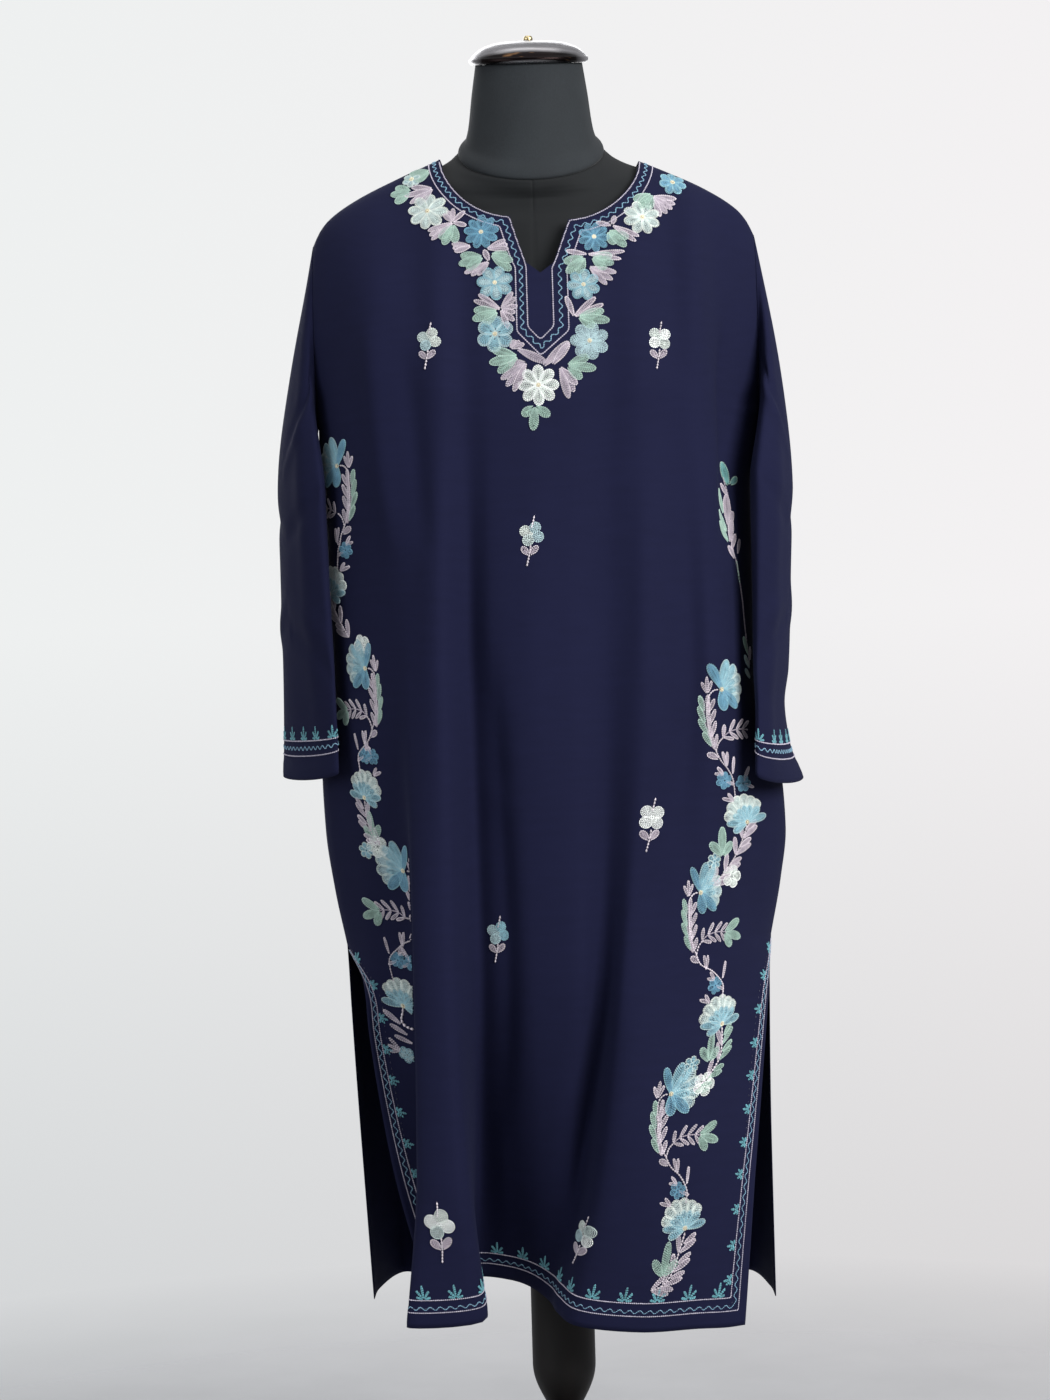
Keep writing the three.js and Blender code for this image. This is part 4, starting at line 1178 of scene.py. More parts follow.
def cup_flower(design):
    """A flower seen from below: scalloped pale petals above, blue ones below, and its eye at the bottom."""
    for turn, end in ((-66, 26), (-44, 28), (-23, 29), (-3, 28), (17, 26), (36, 25)):
        design.petal(turn, 12, end, 5.6, "ice", "pale", 0.66, 0.0, 2)
    for turn, end in ((-86, 23), (-60, 18), (-34, 17), (-8, 17), (18, 17), (48, 20), (80, 22), (-116, 18)):
        design.petal(turn, 0.5, end, 4.2, "sky", "aqua", 0.62, 0.35, 1, 0.35)
    design.eye()


def small_flower(design, radius, petals, edge, heart, twist):
    design.ring(1.4, heart, 0.2)
    petals_round(design, radius, petals, 0.7 * np.pi * radius / petals, (edge, heart), twist, 0.25, 1, 0.4)


def vine_unit(design, row):
    """One repeat of a vine, about the eye of its great flower, down to its cup flower."""
    at = design.seen_beside
    (bud_x, bud_y), (cup_x, cup_y) = row["buds"][0], row["cup"]
    if row["white"]:
        small_flower(at(*row["white"]), 11.5, 5, "white", "ice", 20)
    if row["blue"]:
        small_flower(at(*row["blue"]), 8.5, 6, "pale", "aqua", 10)
    great_flower(at(0, 0))
    stem = [(-3, 0), (-8, -1), (-12.5, -6), (-14, -14), (-14, -30), (-11.5, -48), (-7, -59), (-2, -69)]
    bend = [(mix(-2, bud_x + 8, 0.6), -77), (bud_x + 9, bud_y), (mix(bud_x + 8, cup_x, 0.2), cup_y + 24)]
    design.seen_line(stem + bend, "mauve", 1.35, 0.2)
    fan(at(-14, -4), MAUVE, 1.9, [(-24, 13), (0, 17), (22, 14)])
    column = [(0, 22), (0, 4), (2, -12), (5, -25)]
    leaves = at(-14, -32)
    plume(leaves, column, None, MAUVE, 16, 2.3, 8, 4)
    plume(leaves.beside(1, 0), column, None, MAUVE, 17, 2.4, 11.5, 27)
    plume(leaves.beside(-3, 0), [(0, 22), (0, 2), (6, -23)], MINT, None, 19, 2.9, 13, 15)
    feather = [(15, 2), (3, 3), (-7, 1), (-14, -4)]
    leaves = at(15, -42)
    plume(leaves, feather, MAUVE, None, 14, 1.9, 8.6, 46)
    plume(leaves, feather, None, MAUVE, 13, 1.9, 8.6, 50)
    design.seen_line([(1, -46), (-4, -51), (-7, -59)], "mauve", 1.35, 0.2)
    if row["end_leaf"]:
        fan(at(27, -40, 90), MINT, 4.4, [(-30, 22), (62, 17), (18, 23)], 0.3)
    fan(at(-4, -67), MAUVE, 3.3, [(-60, 12)])
    fan(at(4, -75), MAUVE, 1.8, [(-16, 16), (1, 15)])
    fan(at(bud_x + 9, bud_y + 5), MAUVE, 1.6, [(6, 18)])
    fan(at(bud_x, bud_y + 5), MAUVE, 1.8, [(-38, 11), (-76, 10)])
    for i, (x, y) in enumerate(row["buds"]):
        if i:
            fan(at(x, y), MAUVE, 1.8, [(25, 18)])
        fan(at(x, y), MAUVE, 1.7, [(112, 13)])
        small_flower(at(x, y), 8.6, 6, "blue", "deep_blue", 10 + 20 * i)
    fan(at(cup_x - 13, cup_y + 21), MAUVE, 1.9, [(-72, 13), (-40, 11)])
    cup_flower(at(cup_x, cup_y, -4))


def stalk(design, path, right, sprig):
    """The leafy stalk below a cup flower, about its eye, with a group of three mint leaves beside it."""
    design.seen_line(path, "mauve", 1.5, 0.2)
    for (x0, y0), (x1, y1) in zip(path, path[1:]):
        leaves = design.seen_beside(x1, y1, np.degrees(np.arctan2(x0 - x1, y0 - y1)))
        fan(leaves, MAUVE, 2.6, [(-30, 18)])
        fan(leaves, right, 2.9, [(32, 20)])
        fan(leaves.beside(0, 8), right, 2.7, [(30, 16)], 0.25)
    if sprig:
        x, y, reach = sprig
        fan(design.seen_beside(x, y), MINT, 4.23, [(-38, 0.64 * reach), (38, 0.6 * reach), (0, reach)])


def butti(design, size, petals, twist):
    """A single flower on a stalk with two leaves. Its four petals are round, each worked in a coil."""
    upper_stalk = [(1.5, 24 * size), (0.5, 17 * size), (-0.5, 12 * size)]
    lower_stalk = [(0, -4 * size), (-0.8, -13 * size), (-2.5 * size, -24 * size)]
    design.line(smooth_path(upper_stalk), "mauve", 1.5, 0.2)
    middle = design.beside(0, 6.5 * size)
    for i, (turn, colour) in enumerate(zip((-46, 48, 134, 228), petals)):
        coil = middle.beside(*(6.8 * size * heading(turn + twist)))
        for radius in np.linspace(5.1 * size, 0.6, 5):
            coil.ring(radius, colour, 0.3 * (i % 2))
    middle.ring(1.3 * size, petals[0], 0.2)
    leaves = design.beside(-1, -14 * size)
    fan(leaves, MAUVE, 3.3 * size, [(-44, 11.5 * size), (40, 12.5 * size)])
    design.line(smooth_path(lower_stalk), "mauve", 1.5, 0.3)


def border_sprig(design, size):
    """The small palmette that stands along the borders."""
    for turn, reach in ((-74, 8), (-36, 11), (0, 14), (38, 11), (76, 8)):
        design.petal(turn, 0.6, reach * size, 1.35, "sprig", "sprig", 0.7)


def wave_line(path, swing, wavelength):
    """A path that swings evenly from side to side of another."""
    fine = even_path(np.asarray(path, float), 0.8)
    length = run_length(fine)
    turns = max(round(length[-1] / wavelength), 1)
    way = unit(np.gradient(fine, axis=0))
    side = stack(way[:, 1], -way[:, 0])
    return fine + side * (swing * np.sin(2 * np.pi * turns * length / length[-1]))[:, None]


def offset_path(path, distance):
    """The line beside a path, on its right, without the loops that a tight corner makes."""
    fine = even_path(np.asarray(path, float), 1.5)
    way = unit(np.gradient(fine, axis=0))
    moved_out = fine + distance * stack(way[:, 1], -way[:, 0])
    near = np.linalg.norm(moved_out[:, None, :] - fine[None, :, :], axis=-1).min(axis=1)
    kept = moved_out[near > abs(distance) - 0.35]
    soft = kept.copy()
    for _ in range(3):
        soft[1:-1] = (kept[:-2] + 2 * kept[1:-1] + kept[2:]) / 4
        kept = soft.copy()
    return kept


def band(design, lines, sprig_gap=None, size=1.0):
    """Two plain lines, a wavy one between them, and palmettes beyond, smaller beside upright runs."""
    design.move((0, 0))
    design.line(lines[0], "lilac", 1.15 * size)
    design.line(wave_line(lines[1], 1.9 * size, 9.5), "wave", size)
    design.line(lines[2], "lilac", 1.15 * size)
    if sprig_gap is None:
        return
    path = even_path(lines[2], 1.0)
    way = unit(np.gradient(path, axis=0))
    length = run_length(path)
    count = int(length[-1] // sprig_gap)
    for i in range(count):
        k = np.searchsorted(length, (i + 0.5) * length[-1] / count)
        side = np.array([-way[k, 1], way[k, 0]])
        design.move(path[k] + side, np.degrees(np.arctan2(side[0], side[1])))
        border_sprig(design, mix(1, 0.68, abs(way[k, 1])))


GARLAND_ROSETTES = named_rows(
    "x z radius petals edge heart twist",
    (-103, 1405, 19.5, 8, "ice", "pale", 10),
    (-51, 1379, 17.5, 9, "blue", "deep_blue", 0),
    (-39, 1326, 18, 7, "aqua", "sky", 20),
    (-40, 1275, 18.5, 6, "sky", "aqua", 5),
    (0, 1224, 20, 8, "white", "ice", 0),
    (50, 1266, 19, 7, "sky", "sky", 15),
    (46, 1322, 16.5, 7, "aqua", "sky", 8),
    (58, 1371, 16, 9, "blue", "deep_blue", 12),
    (106, 1392, 18.5, 8, "ice", "pale", 25),
    (139, 1433, 14, 7, "aqua", "blue", 0),
    (-119, 1444, 9.5, 6, "pale", "sky", 14),
)
# Leaves of the garland: where each group springs from, and the turn and reach of its leaves.
GARLAND_MINT = [
    (-120, 1429, [(-58, 15), (-92, 17), (-126, 16)]),
    (-78, 1389, [(-137, 17), (-155, 20), (-185, 17)]),
    (-101, 1451, [(-100, 22), (-80, 18), (-122, 15)]),
    (-50, 1353, [(-82, 19), (-105, 21), (-127, 17)]),
    (-42, 1355, [(93, 14), (110, 19), (132, 22)]),
    (-37, 1297, [(-83, 20), (-105, 22), (-130, 15)]),
    (-19, 1252, [(-72, 22), (-101, 24), (-128, 21)]),
    (-4, 1204, [(-125, 13), (-176, 20), (125, 15)]),
    (28, 1242, [(66, 20), (96, 24), (134, 16)]),
    (40, 1290, [(76, 22), (98, 26), (124, 16)]),
    (55, 1350, [(86, 17), (108, 19), (134, 16)]),
    (48, 1350, [(-104, 18), (-132, 21), (-158, 16)]),
    (72, 1377, [(108, 18), (134, 20), (160, 13)]),
    (117, 1418, [(-112, 17), (-140, 18), (-165, 15)]),
]
# The last column is the leaves' half breadth.
GARLAND_MAUVE = [
    (-98, 1430, [(-120, 24), (-100, 26), (-142, 19), (-78, 20)], 2.8),
    (-79, 1391, [(4, 14), (-39, 12), (47, 15), (108, 13)], 2.3),
    (-78, 1391, [(-104, 23), (-128, 24)], 2.5),
    (-61, 1365, [(-78, 17), (-106, 15)], 2.6),
    (-46, 1361, [(64, 18), (92, 19)], 2.4),
    (-44, 1348, [(-113, 24), (-140, 16), (-20, 12)], 2.6),
    (-34, 1299, [(-68, 25), (-52, 24), (34, 19), (52, 17), (104, 13), (160, 18)], 2.5),
    (-26, 1260, [(72, 13), (30, 9)], 2.4),
    (-20, 1260, [(117, 28)], 3.6),
    (-11, 1246, [(-122, 26), (-155, 27), (-90, 16)], 3.2),
    (5, 1242, [(47, 31)], 3.8),
    (14, 1243, [(38, 24)], 3.4),
    (21, 1241, [(138, 21), (166, 28)], 3.4),
    (36, 1290, [(-19, 20), (47, 26), (66, 28)], 2.6),
    (52, 1340, [(103, 24), (138, 22)], 2.8),
    (51, 1353, [(-80, 19), (99, 29), (85, 32)], 2.3),
    (76, 1383, [(112, 25), (126, 25), (-80, 14), (18, 10)], 2.4),
    (118, 1416, [(95, 20), (128, 20), (164, 20)], 2.8),
]
BUTTIS = named_rows(
    "x z size turn twist petals",
    (-104, 1266, 0.96, 4, -24, "pale ice ice sky"),
    (117, 1261, 0.98, 3, 0, "ice white ice white"),
    (-11, 1076, 1.0, 3, -22, "ice sky sky pale"),
    (96, 803, 1.08, 5, 0, "white white white white"),
    (-53, 696, 0.95, 3, -24, "sky aqua aqua sky"),
    (-115, 423, 1.22, -2, -26, "white ice white pale"),
    (19, 408, 1.02, 4, 4, "ice pale white sky"),
)
# Each row is one repeat of a vine. x, z is the eye of its great flower, and the rest lies about that eye.
# stalk is the line of its leafy stalk, about the eye of its cup flower, and leaves are the colours on that
# stalk's right.
VINE_COLUMNS = "x z spread end_leaf white blue buds cup leaves stalk sprig"
LEFT_VINE = named_rows(
    VINE_COLUMNS,
    (168, 930, 1.0, False, None, None, [(1, -88), (21, -92)], (24, -130), MAUVE)
    + ([(0, -3), (-5, -16), (-13, -31), (-25, -46), (-38, -58)], (-27, -31, 29)),
    (142, 736, 0.85, True, (38, 13), (17, 29), [(14, -90)], (20, -127), MINT)
    + ([(0, -3), (-1, -20), (-6, -34), (-20, -48), (-36, -60)], (-17, -34, 28)),
    (107, 548, 0.95, True, (34, 7), (22, 26), [(4, -91)], (10, -127), MAUVE)
    + ([(0, -4), (-7, -24), (-14, -42), (-24, -54), (-36, -58)], (-24, -46, 32)),
)
RIGHT_VINE = named_rows(
    VINE_COLUMNS,
    (-198, 1159, 0.85, False, None, None, [(-7, -83)], (14, -124), MAUVE)
    + ([(0, -3), (-5, -16), (-13, -30), (-22, -44)], None),
    (-175, 960, 0.72, True, (4, 22), None, [(5, -85), (-6, -86)], (7, -126), MAUVE)
    + ([(0, -3), (-2, -20), (-8, -34), (-20, -46)], (-12, -42, 30)),
    (-142, 763, 0.95, True, (28, 23), (40, 19), [(10, -88), (-5, -90)], (5.5, -133), MAUVE, None, None),
)
# Leaves of the long stem the left vine begins with: foot, turn, reach, half breadth and colours.
LONG_STEM_LEAVES = [
    (2.5, 29, -14, 25, 4.4, ("mint_shade", "teal")),
    (4, 30, 50, 13, 3.6, ("mint_shade", "teal")),
    (2, 18, -28, 16, 2.2, MAUVE),
    (-4, 1, -8, 26, 2.4, MINT),
    (-1, -17, -20, 24, 2.6, MINT),
    (0, -27, -25, 23, 2.7, MINT),
    (0, -10, 3, 31, 3.4, MAUVE),
    (1, -15, 17, 20, 3.0, MAUVE),
    (2, -27, 8, 23, 3.0, MAUVE),
    (3, -34, 20, 17, 2.4, MAUVE),
    (6, -43, -28, 15, 2.6, MAUVE),
    (10, -38, 12, 16, 2.0, ("mauve_shade", "mauve_shade")),
    (19, -137, -23, 20, 2.9, MINT),
    (20, -150, -33, 16, 2.8, ("sky", "pale")),
    (20, -160, -40, 13, 2.6, ("sky", "pale")),
    (21, -142, 2, 14, 2.0, MAUVE),
]
# How far the three lines of each border lie from the neckline, the hem and the cuff. The hem's second
# values are their distances from the slits. Palmettes stand this far apart on the hem and the cuffs.
NECK_BAND = (1.2, 8.4, 15.6)
HEM_BAND = ((12, 19), (17.5, 26), (23, 33))
CUFF_BAND = (24, 31.5, 39)
SPRIG_GAP = {"hem": 30, "cuff": 26}
# The edge of the fold that the right vine runs in under, the height it reaches, and the last place before
# it from which the vine is drawn.
FOLD_LINE = {"z": [397, 552, 758, 800], "x": [-150, -139, -137, -137]}
FOLD_TOP = 830
FOLD_START = -152


def draw_garland(design):
    """The leaves and rosettes round the neck. A short leaf fills each wide gap between two mauve ones."""
    for x, z, lobes, width in GARLAND_MAUVE:
        design.face(x, z)
        between = []
        for (turn, reach), (next_turn, next_reach) in zip(lobes, lobes[1:]):
            if 20 < abs(turn - next_turn) < 60:
                between.append(((turn + next_turn) / 2, 0.5 * (reach + next_reach)))
        fan(design, MAUVE, 1.2 * width, [(turn, 1.14 * reach) for turn, reach in between], -0.2)
        fan(design, MAUVE, 1.2 * width, [(turn, 1.14 * reach) for turn, reach in lobes])
    for x, z, lobes in GARLAND_MINT:
        design.face(x, z)
        fan(design, MINT, 4.8, [(turn, 1.18 * reach) for turn, reach in lobes], 0.2)
    for row in GARLAND_ROSETTES:
        design.face(row["x"], row["z"])
        rosette(design, row["radius"], row["petals"], row["edge"], row["heart"], row["twist"])


def draw_vine(design, rows, mirror):
    for row in rows:
        design.face(row["x"], row["z"], 0, mirror, row["spread"])
        vine_unit(design, row)
        if row["stalk"]:
            stalk(design.seen_beside(*row["cup"]), row["stalk"], row["leaves"], row["sprig"])


def draw_left_vine(design):
    """The vine on the wearer's left, which begins with a long thin stem beside the sleeve."""
    draw_vine(design, LEFT_VINE, 1)
    design.face(181, 1100)
    stem = [(-3, 38), (1, 22), (4, 2), (4, -20), (5, -36)]
    stem += [(8, -45), (12, -70), (14, -87), (16, -114), (20, -146)]
    design.seen_line(stem, "mauve_shade", 1.5)
    design.seen_line([(8, -44), (11, -66)], "mint", 1.6, 0.2)
    for x, y, turn, reach, width, colours in LONG_STEM_LEAVES:
        design.seen_beside(x, y, turn).petal(0, 0.4, reach, width, *colours, 0.56, 0.25 * (reach % 2))


def covered_by_fold(place):
    """Whether the fold down the front's right side lies over a place."""
    edge = np.interp(place[:, 2], FOLD_LINE["z"], FOLD_LINE["x"])
    return (place[:, 2] < FOLD_TOP) & (place[:, 0] > edge)


def draw_right_vine(design):
    """The vine on the wearer's right, which runs in under the fold."""
    design.flat_from = FOLD_START
    draw_vine(design, RIGHT_VINE, -1)
    design.face(-141, 763, 0, -1)
    design.seen_line([(7, -135), (3, -154), (-3, -163)], "mauve", 2.2, 0.2)
    for x, y, turn, reach, width in ((9, -152, 44, 20, 3.0), (2, -162, 56, 19, 2.5), (-3, -170, 66, 19, 2.4)):
        design.seen_beside(x, y, turn).petal(0, 0.5, reach, width, *MAUVE, 0.58, 0.25 * (reach % 2))
    fan(design.seen_beside(10, -177), MAUVE, 1.8, [(33, 15), (65, 13), (96, 12)])
    small_flower(design.seen_beside(4, -181), 8.5, 5, "aqua", "sky", 20)


def neck_foot(distance):
    """The band's foot below the slit, that distance outside its first line, as seen from the front."""
    low = 1281 - 0.3 * distance
    left = -8.6 - 0.72 * distance
    right = 16.3 + distance
    return [(left, 1341), (left, low), (3.2, 1268 - 1.07 * distance), (right, low), (right, 1339)]


def draw_neck(front, back):
    """The band round the neckline, which runs on below the slit to a point."""
    cloth = front.cloth
    edge = cloth.neckline
    lowest = int(np.argmin(edge[:, 1]))
    slit_side, slit_corner = NECK_SLIT["x"][2], NECK_SLIT["top"][2]
    corner = cloth.spot(slit_side - 0.5, slit_corner)[1]
    left = edge[:lowest][edge[:lowest, 1] > corner]
    right = edge[lowest:][edge[lowest:, 1] > corner]
    lines = []
    for distance in NECK_BAND:
        foot = even_path(np.array(neck_foot(distance - NECK_BAND[0]), float), 4.0)
        foot = np.array([cloth.spot(x, z) for x, z in foot])
        lines.append(np.concatenate([offset_path(left, 0.8 * distance), foot, offset_path(right, distance)]))
    band(front, lines)
    band(back, [offset_path(back.cloth.neckline, distance) for distance in NECK_BAND])


def along_hem(cloth, above, inset):
    """The path down one slit, along the hem and up the other, that inset from the edge at a height."""
    v = np.arange(SLIT_TOP - 4, HEM, -4.0)
    v = v[v > HEM + above]
    left, right = (np.interp(v, cloth.levels, edge) for edge in cloth.edges)
    return np.concatenate([stack(left + inset(v), v), stack(right - inset(v), v)[::-1]])


def draw_hem(design):
    """The border along the front's hem and up both of its slits, where it is narrower."""
    lines = []
    for above, inset in HEM_BAND:
        narrower = lambda v, inset=inset: inset * mix(0.66, 0.42, ramp(HEM + 40, HEM + 300, v)) - 3
        lines.append(along_hem(design.cloth, above, narrower))
    band(design, lines, SPRIG_GAP["hem"], 0.84)


def draw_cuff(design):
    u = np.linspace(0, design.cloth.girth, 90)
    band(design, [stack(u, v) for v in CUFF_BAND], SPRIG_GAP["cuff"])


def draw_hem_stitching(design):
    """The small navy stitches that hold the turned hem."""
    path = even_path(along_hem(design.cloth, HEM_WIDTH, lambda v: HEM_WIDTH), 6.0)
    for a, b in zip(path, path[1:]):
        design.line(np.array([a, mix(a, b, 0.38)]), "navy", 0.9)


# ---- Materials


class Graph:
    """Adds nodes to a tree. An input is either a value or another node's socket."""

    def __init__(self, tree):
        self.tree = tree
        tree.nodes.clear()

    def give(self, socket, value):
        if isinstance(value, bpy.types.NodeSocket):
            self.tree.links.new(value, socket)
        else:
            socket.default_value = value

    def add(self, kind, inputs=None, **choices):
        node = self.tree.nodes.new(kind)
        for key, value in choices.items():
            setattr(node, key, value)
        for key, value in (inputs or {}).items():
            self.give(node.inputs[key], value)
        return node

    def maths(self, operation, a, b=0.0):
        return self.add("ShaderNodeMath", {0: a, 1: b}, operation=operation).outputs[0]

    def times(self, a, b):
        return self.maths("MULTIPLY", a, b)

    def plus(self, a, b):
        return self.maths("ADD", a, b)

    def weigh(self, a, share_of_a, b, share_of_b):
        return self.plus(self.times(a, share_of_a), self.times(b, share_of_b))

    def wave(self, value, rate):
        return self.maths("SINE", self.times(value, rate))

    def parts(self, vector):
        return self.add("ShaderNodeSeparateXYZ", {0: vector}).outputs

    def noise(self, place, scale, detail, rough):
        """Noise of one scale, or with a scale of its own along each axis."""
        if isinstance(scale, tuple):
            place = self.add("ShaderNodeMapping", {"Vector": place, "Scale": scale}).outputs[0]
            scale = 1.0
        inputs = {"Vector": place, "Scale": scale, "Detail": detail, "Roughness": rough}
        return self.add("ShaderNodeTexNoise", inputs).outputs[0]

    def blend(self, share, low, high, how="MIX"):
        inputs = {0: share, 6: low, 7: high}
        return self.add("ShaderNodeMix", inputs, data_type="RGBA", blend_type=how).outputs[2]

    def spread(self, value, low, high, to_low=0.0, to_high=1.0):
        """The value carried from one range to another, and held at its ends."""
        return self.add("ShaderNodeMapRange", {0: value, 1: low, 2: high, 3: to_low, 4: to_high}).outputs[0]

    def bump(self, height, strength, distance):
        inputs = {"Height": height, "Strength": strength, "Distance": distance}
        return self.add("ShaderNodeBump", inputs).outputs[0]


class Surface(Graph):
    """The nodes of a new material. place is the object's own coordinates."""

    def __init__(self, name):
        self.material = bpy.data.materials.new(name)
        self.material.use_nodes = True
        super().__init__(self.material.node_tree)
        self.place = self.add("ShaderNodeTexCoord").outputs["Object"]

    def finish(self, **sockets):
        """The material, once its shader has these inputs. Underscores in a name stand for spaces."""
        inputs = {name.replace("_", " "): value for name, value in sockets.items()}
        shader = self.add("ShaderNodeBsdfPrincipled", inputs)
        self.add("ShaderNodeOutputMaterial", {0: shader.outputs[0]})
        return self.material


def shade(*colour):
    return (*srgb(*colour), 1.0)


def wool_material(settings):
    """Fine navy wool: a close twill with a faint bloom and a little unevenness in its dye."""
    graph = Surface("Navy wool")
    cloth = graph.add("ShaderNodeUVMap", uv_map="Cloth").outputs[0]
    across, up = graph.parts(cloth)[:2]
    twill = graph.wave(graph.plus(across, graph.times(up, 0.8)), 7400.0)
    yarn = graph.wave(across, 14000.0)
    fuzz = graph.noise(cloth, (2600.0, 1500.0, 1.0), 3.0, 0.6)
    slub = graph.noise(cloth, (30.0, 160.0, 1.0), 2.0, 0.5)
    dye = graph.noise(graph.place, 5.0, 3.0, 0.55)
    low, high, lighter = ((*(share * c for c in settings.wool_colour), 1.0) for share in (0.9, 1.1, 1.28))
    base = graph.blend(graph.spread(graph.weigh(dye, 0.6, slub, 0.4), 0.35, 0.65), low, high)
    base = graph.blend(graph.times(graph.spread(fuzz, 0.3, 0.7), 0.4), base, lighter)
    height = graph.plus(graph.weigh(twill, 0.5, yarn, 0.2), graph.times(fuzz, 1.2))
    return graph.finish(
        Base_Color=base,
        Roughness=graph.spread(fuzz, 0.2, 0.8, 0.78, 0.95),
        Specular_IOR_Level=0.08,
        Sheen_Weight=settings.bloom,
        Sheen_Roughness=0.45,
        Sheen_Tint=shade(128, 138, 190),
        Normal=graph.bump(height, 0.35, 0.00012),
    )


def thread_material():
    """Cotton and silk chain-stitch thread, in the colour that each link carries."""
    graph = Surface("Embroidery thread")
    colour = graph.add("ShaderNodeAttribute", attribute_name="shade").outputs["Color"]
    twist = graph.noise(graph.place, (1500.0, 1500.0, 1500.0), 2.0, 0.6)
    patch = graph.noise(graph.place, 190.0, 2.0, 0.5)
    darker = graph.blend(1.0, colour, shade(190, 190, 196), "MULTIPLY")
    amount = graph.plus(graph.spread(patch, 0.35, 0.7, 0.0, 0.45), graph.spread(twist, 0.4, 0.8, 0.0, 0.4))
    return graph.finish(
        Base_Color=graph.blend(amount, colour, darker),
        Roughness=graph.spread(twist, 0.3, 0.7, 0.5, 0.7),
        Specular_IOR_Level=0.4,
        Sheen_Weight=0.15,
        Sheen_Roughness=0.4,
        Normal=graph.bump(twist, 0.4, 0.0002),
    )


def jersey_material(name, share):
    """The dress form's charcoal jersey: fine upright ribs of knitting, softly worn. share darkens it, so that
    a darker copy of the same jersey paints shade.
    """
    graph = Surface(name)
    tones = ((26, 29, 32), (33, 37, 40), (50, 55, 59))
    low, high, worn = (shade(*(share * c for c in tone)) for tone in tones)
    across, _, up = graph.parts(graph.place)
    knit = graph.weigh(graph.wave(across, 6300.0), 0.5, graph.wave(up, 5200.0), 0.3)
    fuzz = graph.noise(graph.place, (900.0, 900.0, 500.0), 3.0, 0.6)
    cloud = graph.noise(graph.place, 14.0, 3.0, 0.5)
    base = graph.blend(graph.spread(cloud, 0.3, 0.7), low, high)
    return graph.finish(
        Base_Color=graph.blend(graph.spread(fuzz, 0.35, 0.75, 0.0, 0.35), base, worn),
        Roughness=graph.spread(fuzz, 0.2, 0.8, 0.7, 0.9),
        Specular_IOR_Level=0.16,
        Sheen_Weight=0.05,
        Sheen_Roughness=0.5,
        Normal=graph.bump(graph.plus(knit, fuzz), 0.3, 0.00015),
    )


def polished(graph, base, smear):
    """Polished metal of that colour, with fine turning marks, and duller where it is smeared."""
    marks = graph.noise(graph.place, (60.0, 60.0, 2600.0), 2.0, 0.6)
    return graph.finish(
        Base_Color=base,
        Metallic=1.0,
        Roughness=graph.spread(smear, 0.3, 0.75, 0.22, 0.34),
        Normal=graph.bump(marks, 0.05, 0.0001),
    )


def brass_material():
    graph = Surface("Brass")
    smear = graph.noise(graph.place, 45.0, 3.0, 0.6)
    bright, dull = (shade(*(share * c for c in (214, 196, 150))) for share in (1.0, 0.86))
    return polished(graph, graph.blend(graph.spread(smear, 0.3, 0.75), bright, dull), smear)


def cap_material():
    """The cap's metal, grey on its crown, with a painted reflection round its side: dark brown with golden
    streaks, standing in for the dark room and lights that the polished side would mirror. Heights and widths
    are in metres.
    """
    graph = Surface("Polished cap metal with painted reflection")
    across, _, up = graph.parts(graph.place)
    smear = graph.noise(graph.place, (30.0, 30.0, 240.0), 3.0, 0.6)
    # Painted reflection: round the middle of the side, between two heights and within a width, the base colour
    # turns dark brown with golden streaks, for the dark room and lights that polished metal would mirror
    # there.
    side = graph.times(graph.spread(up, 1.5605, 1.5565), graph.spread(up, 1.5465, 1.5485))
    dark = graph.times(side, graph.spread(graph.maths("ABSOLUTE", across), 0.057, 0.046))
    painted_reflection = graph.blend(graph.spread(smear, 0.6, 0.72), shade(22, 17, 17), shade(124, 92, 62))
    crown = graph.blend(graph.spread(smear, 0.35, 0.7), shade(168, 166, 168), shade(128, 126, 128))
    return polished(graph, graph.blend(dark, crown, painted_reflection), smear)


def wood_material():
    """Dark stained and lacquered wood with its grain upright."""
    graph = Surface("Dark wood")
    grain = graph.noise(graph.place, (90.0, 90.0, 5.0), 4.0, 0.65)
    rings = graph.noise(graph.place, (18.0, 18.0, 1.6), 3.0, 0.5)
    pores = graph.noise(graph.place, (900.0, 900.0, 40.0), 2.0, 0.5)
    tone = graph.spread(graph.weigh(grain, 0.6, rings, 0.4), 0.35, 0.65)
    return graph.finish(
        Base_Color=graph.blend(tone, shade(5, 4, 4), shade(14, 10, 9)),
        Roughness=graph.spread(grain, 0.3, 0.7, 0.44, 0.58),
        Specular_IOR_Level=0.22,
        Normal=graph.bump(graph.plus(grain, graph.spread(pores, 0.6, 0.8)), 0.15, 0.0003),
    )


def made_once(key, make, *values):
    """The material with this name, made when it is first needed."""
    return bpy.data.materials.get(key) or make(*values)


# ---- The dress form and its stand


def tilted_oval(y, z, width, front, back, dip, rise, roundness, turns):
    sine, cosine = np.sin(turns), np.cos(turns)
    behind = sine > 0
    away = np.sign(sine) * np.abs(sine) ** (2 / roundness) * np.where(behind, back, front)
    slope = np.tan(np.radians(np.where(behind, rise, dip)))
    x = np.sign(cosine) * np.abs(cosine) ** (2 / roundness) * width
    return stack(x, y + away, z + away * slope)


def form_turns(count):
    """Turns round the form, closer together beside the seams at its front and back."""
    even = np.arange(count) / count * 360
    beside = np.array([-2.2, -1.1, -0.5, 0.5, 1.1, 2.2])
    seams = np.concatenate([90 + beside, 270 + beside])
    return np.radians(np.unique(np.round(np.concatenate([even, seams]), 3)))


def form_seam(ring):
    """How deep the form's sewn seam lies, along the middle of its front and back."""
    return FORM_SEAM["depth"] * np.exp(-((ring[:, 0] / FORM_SEAM["width"]) ** 2))


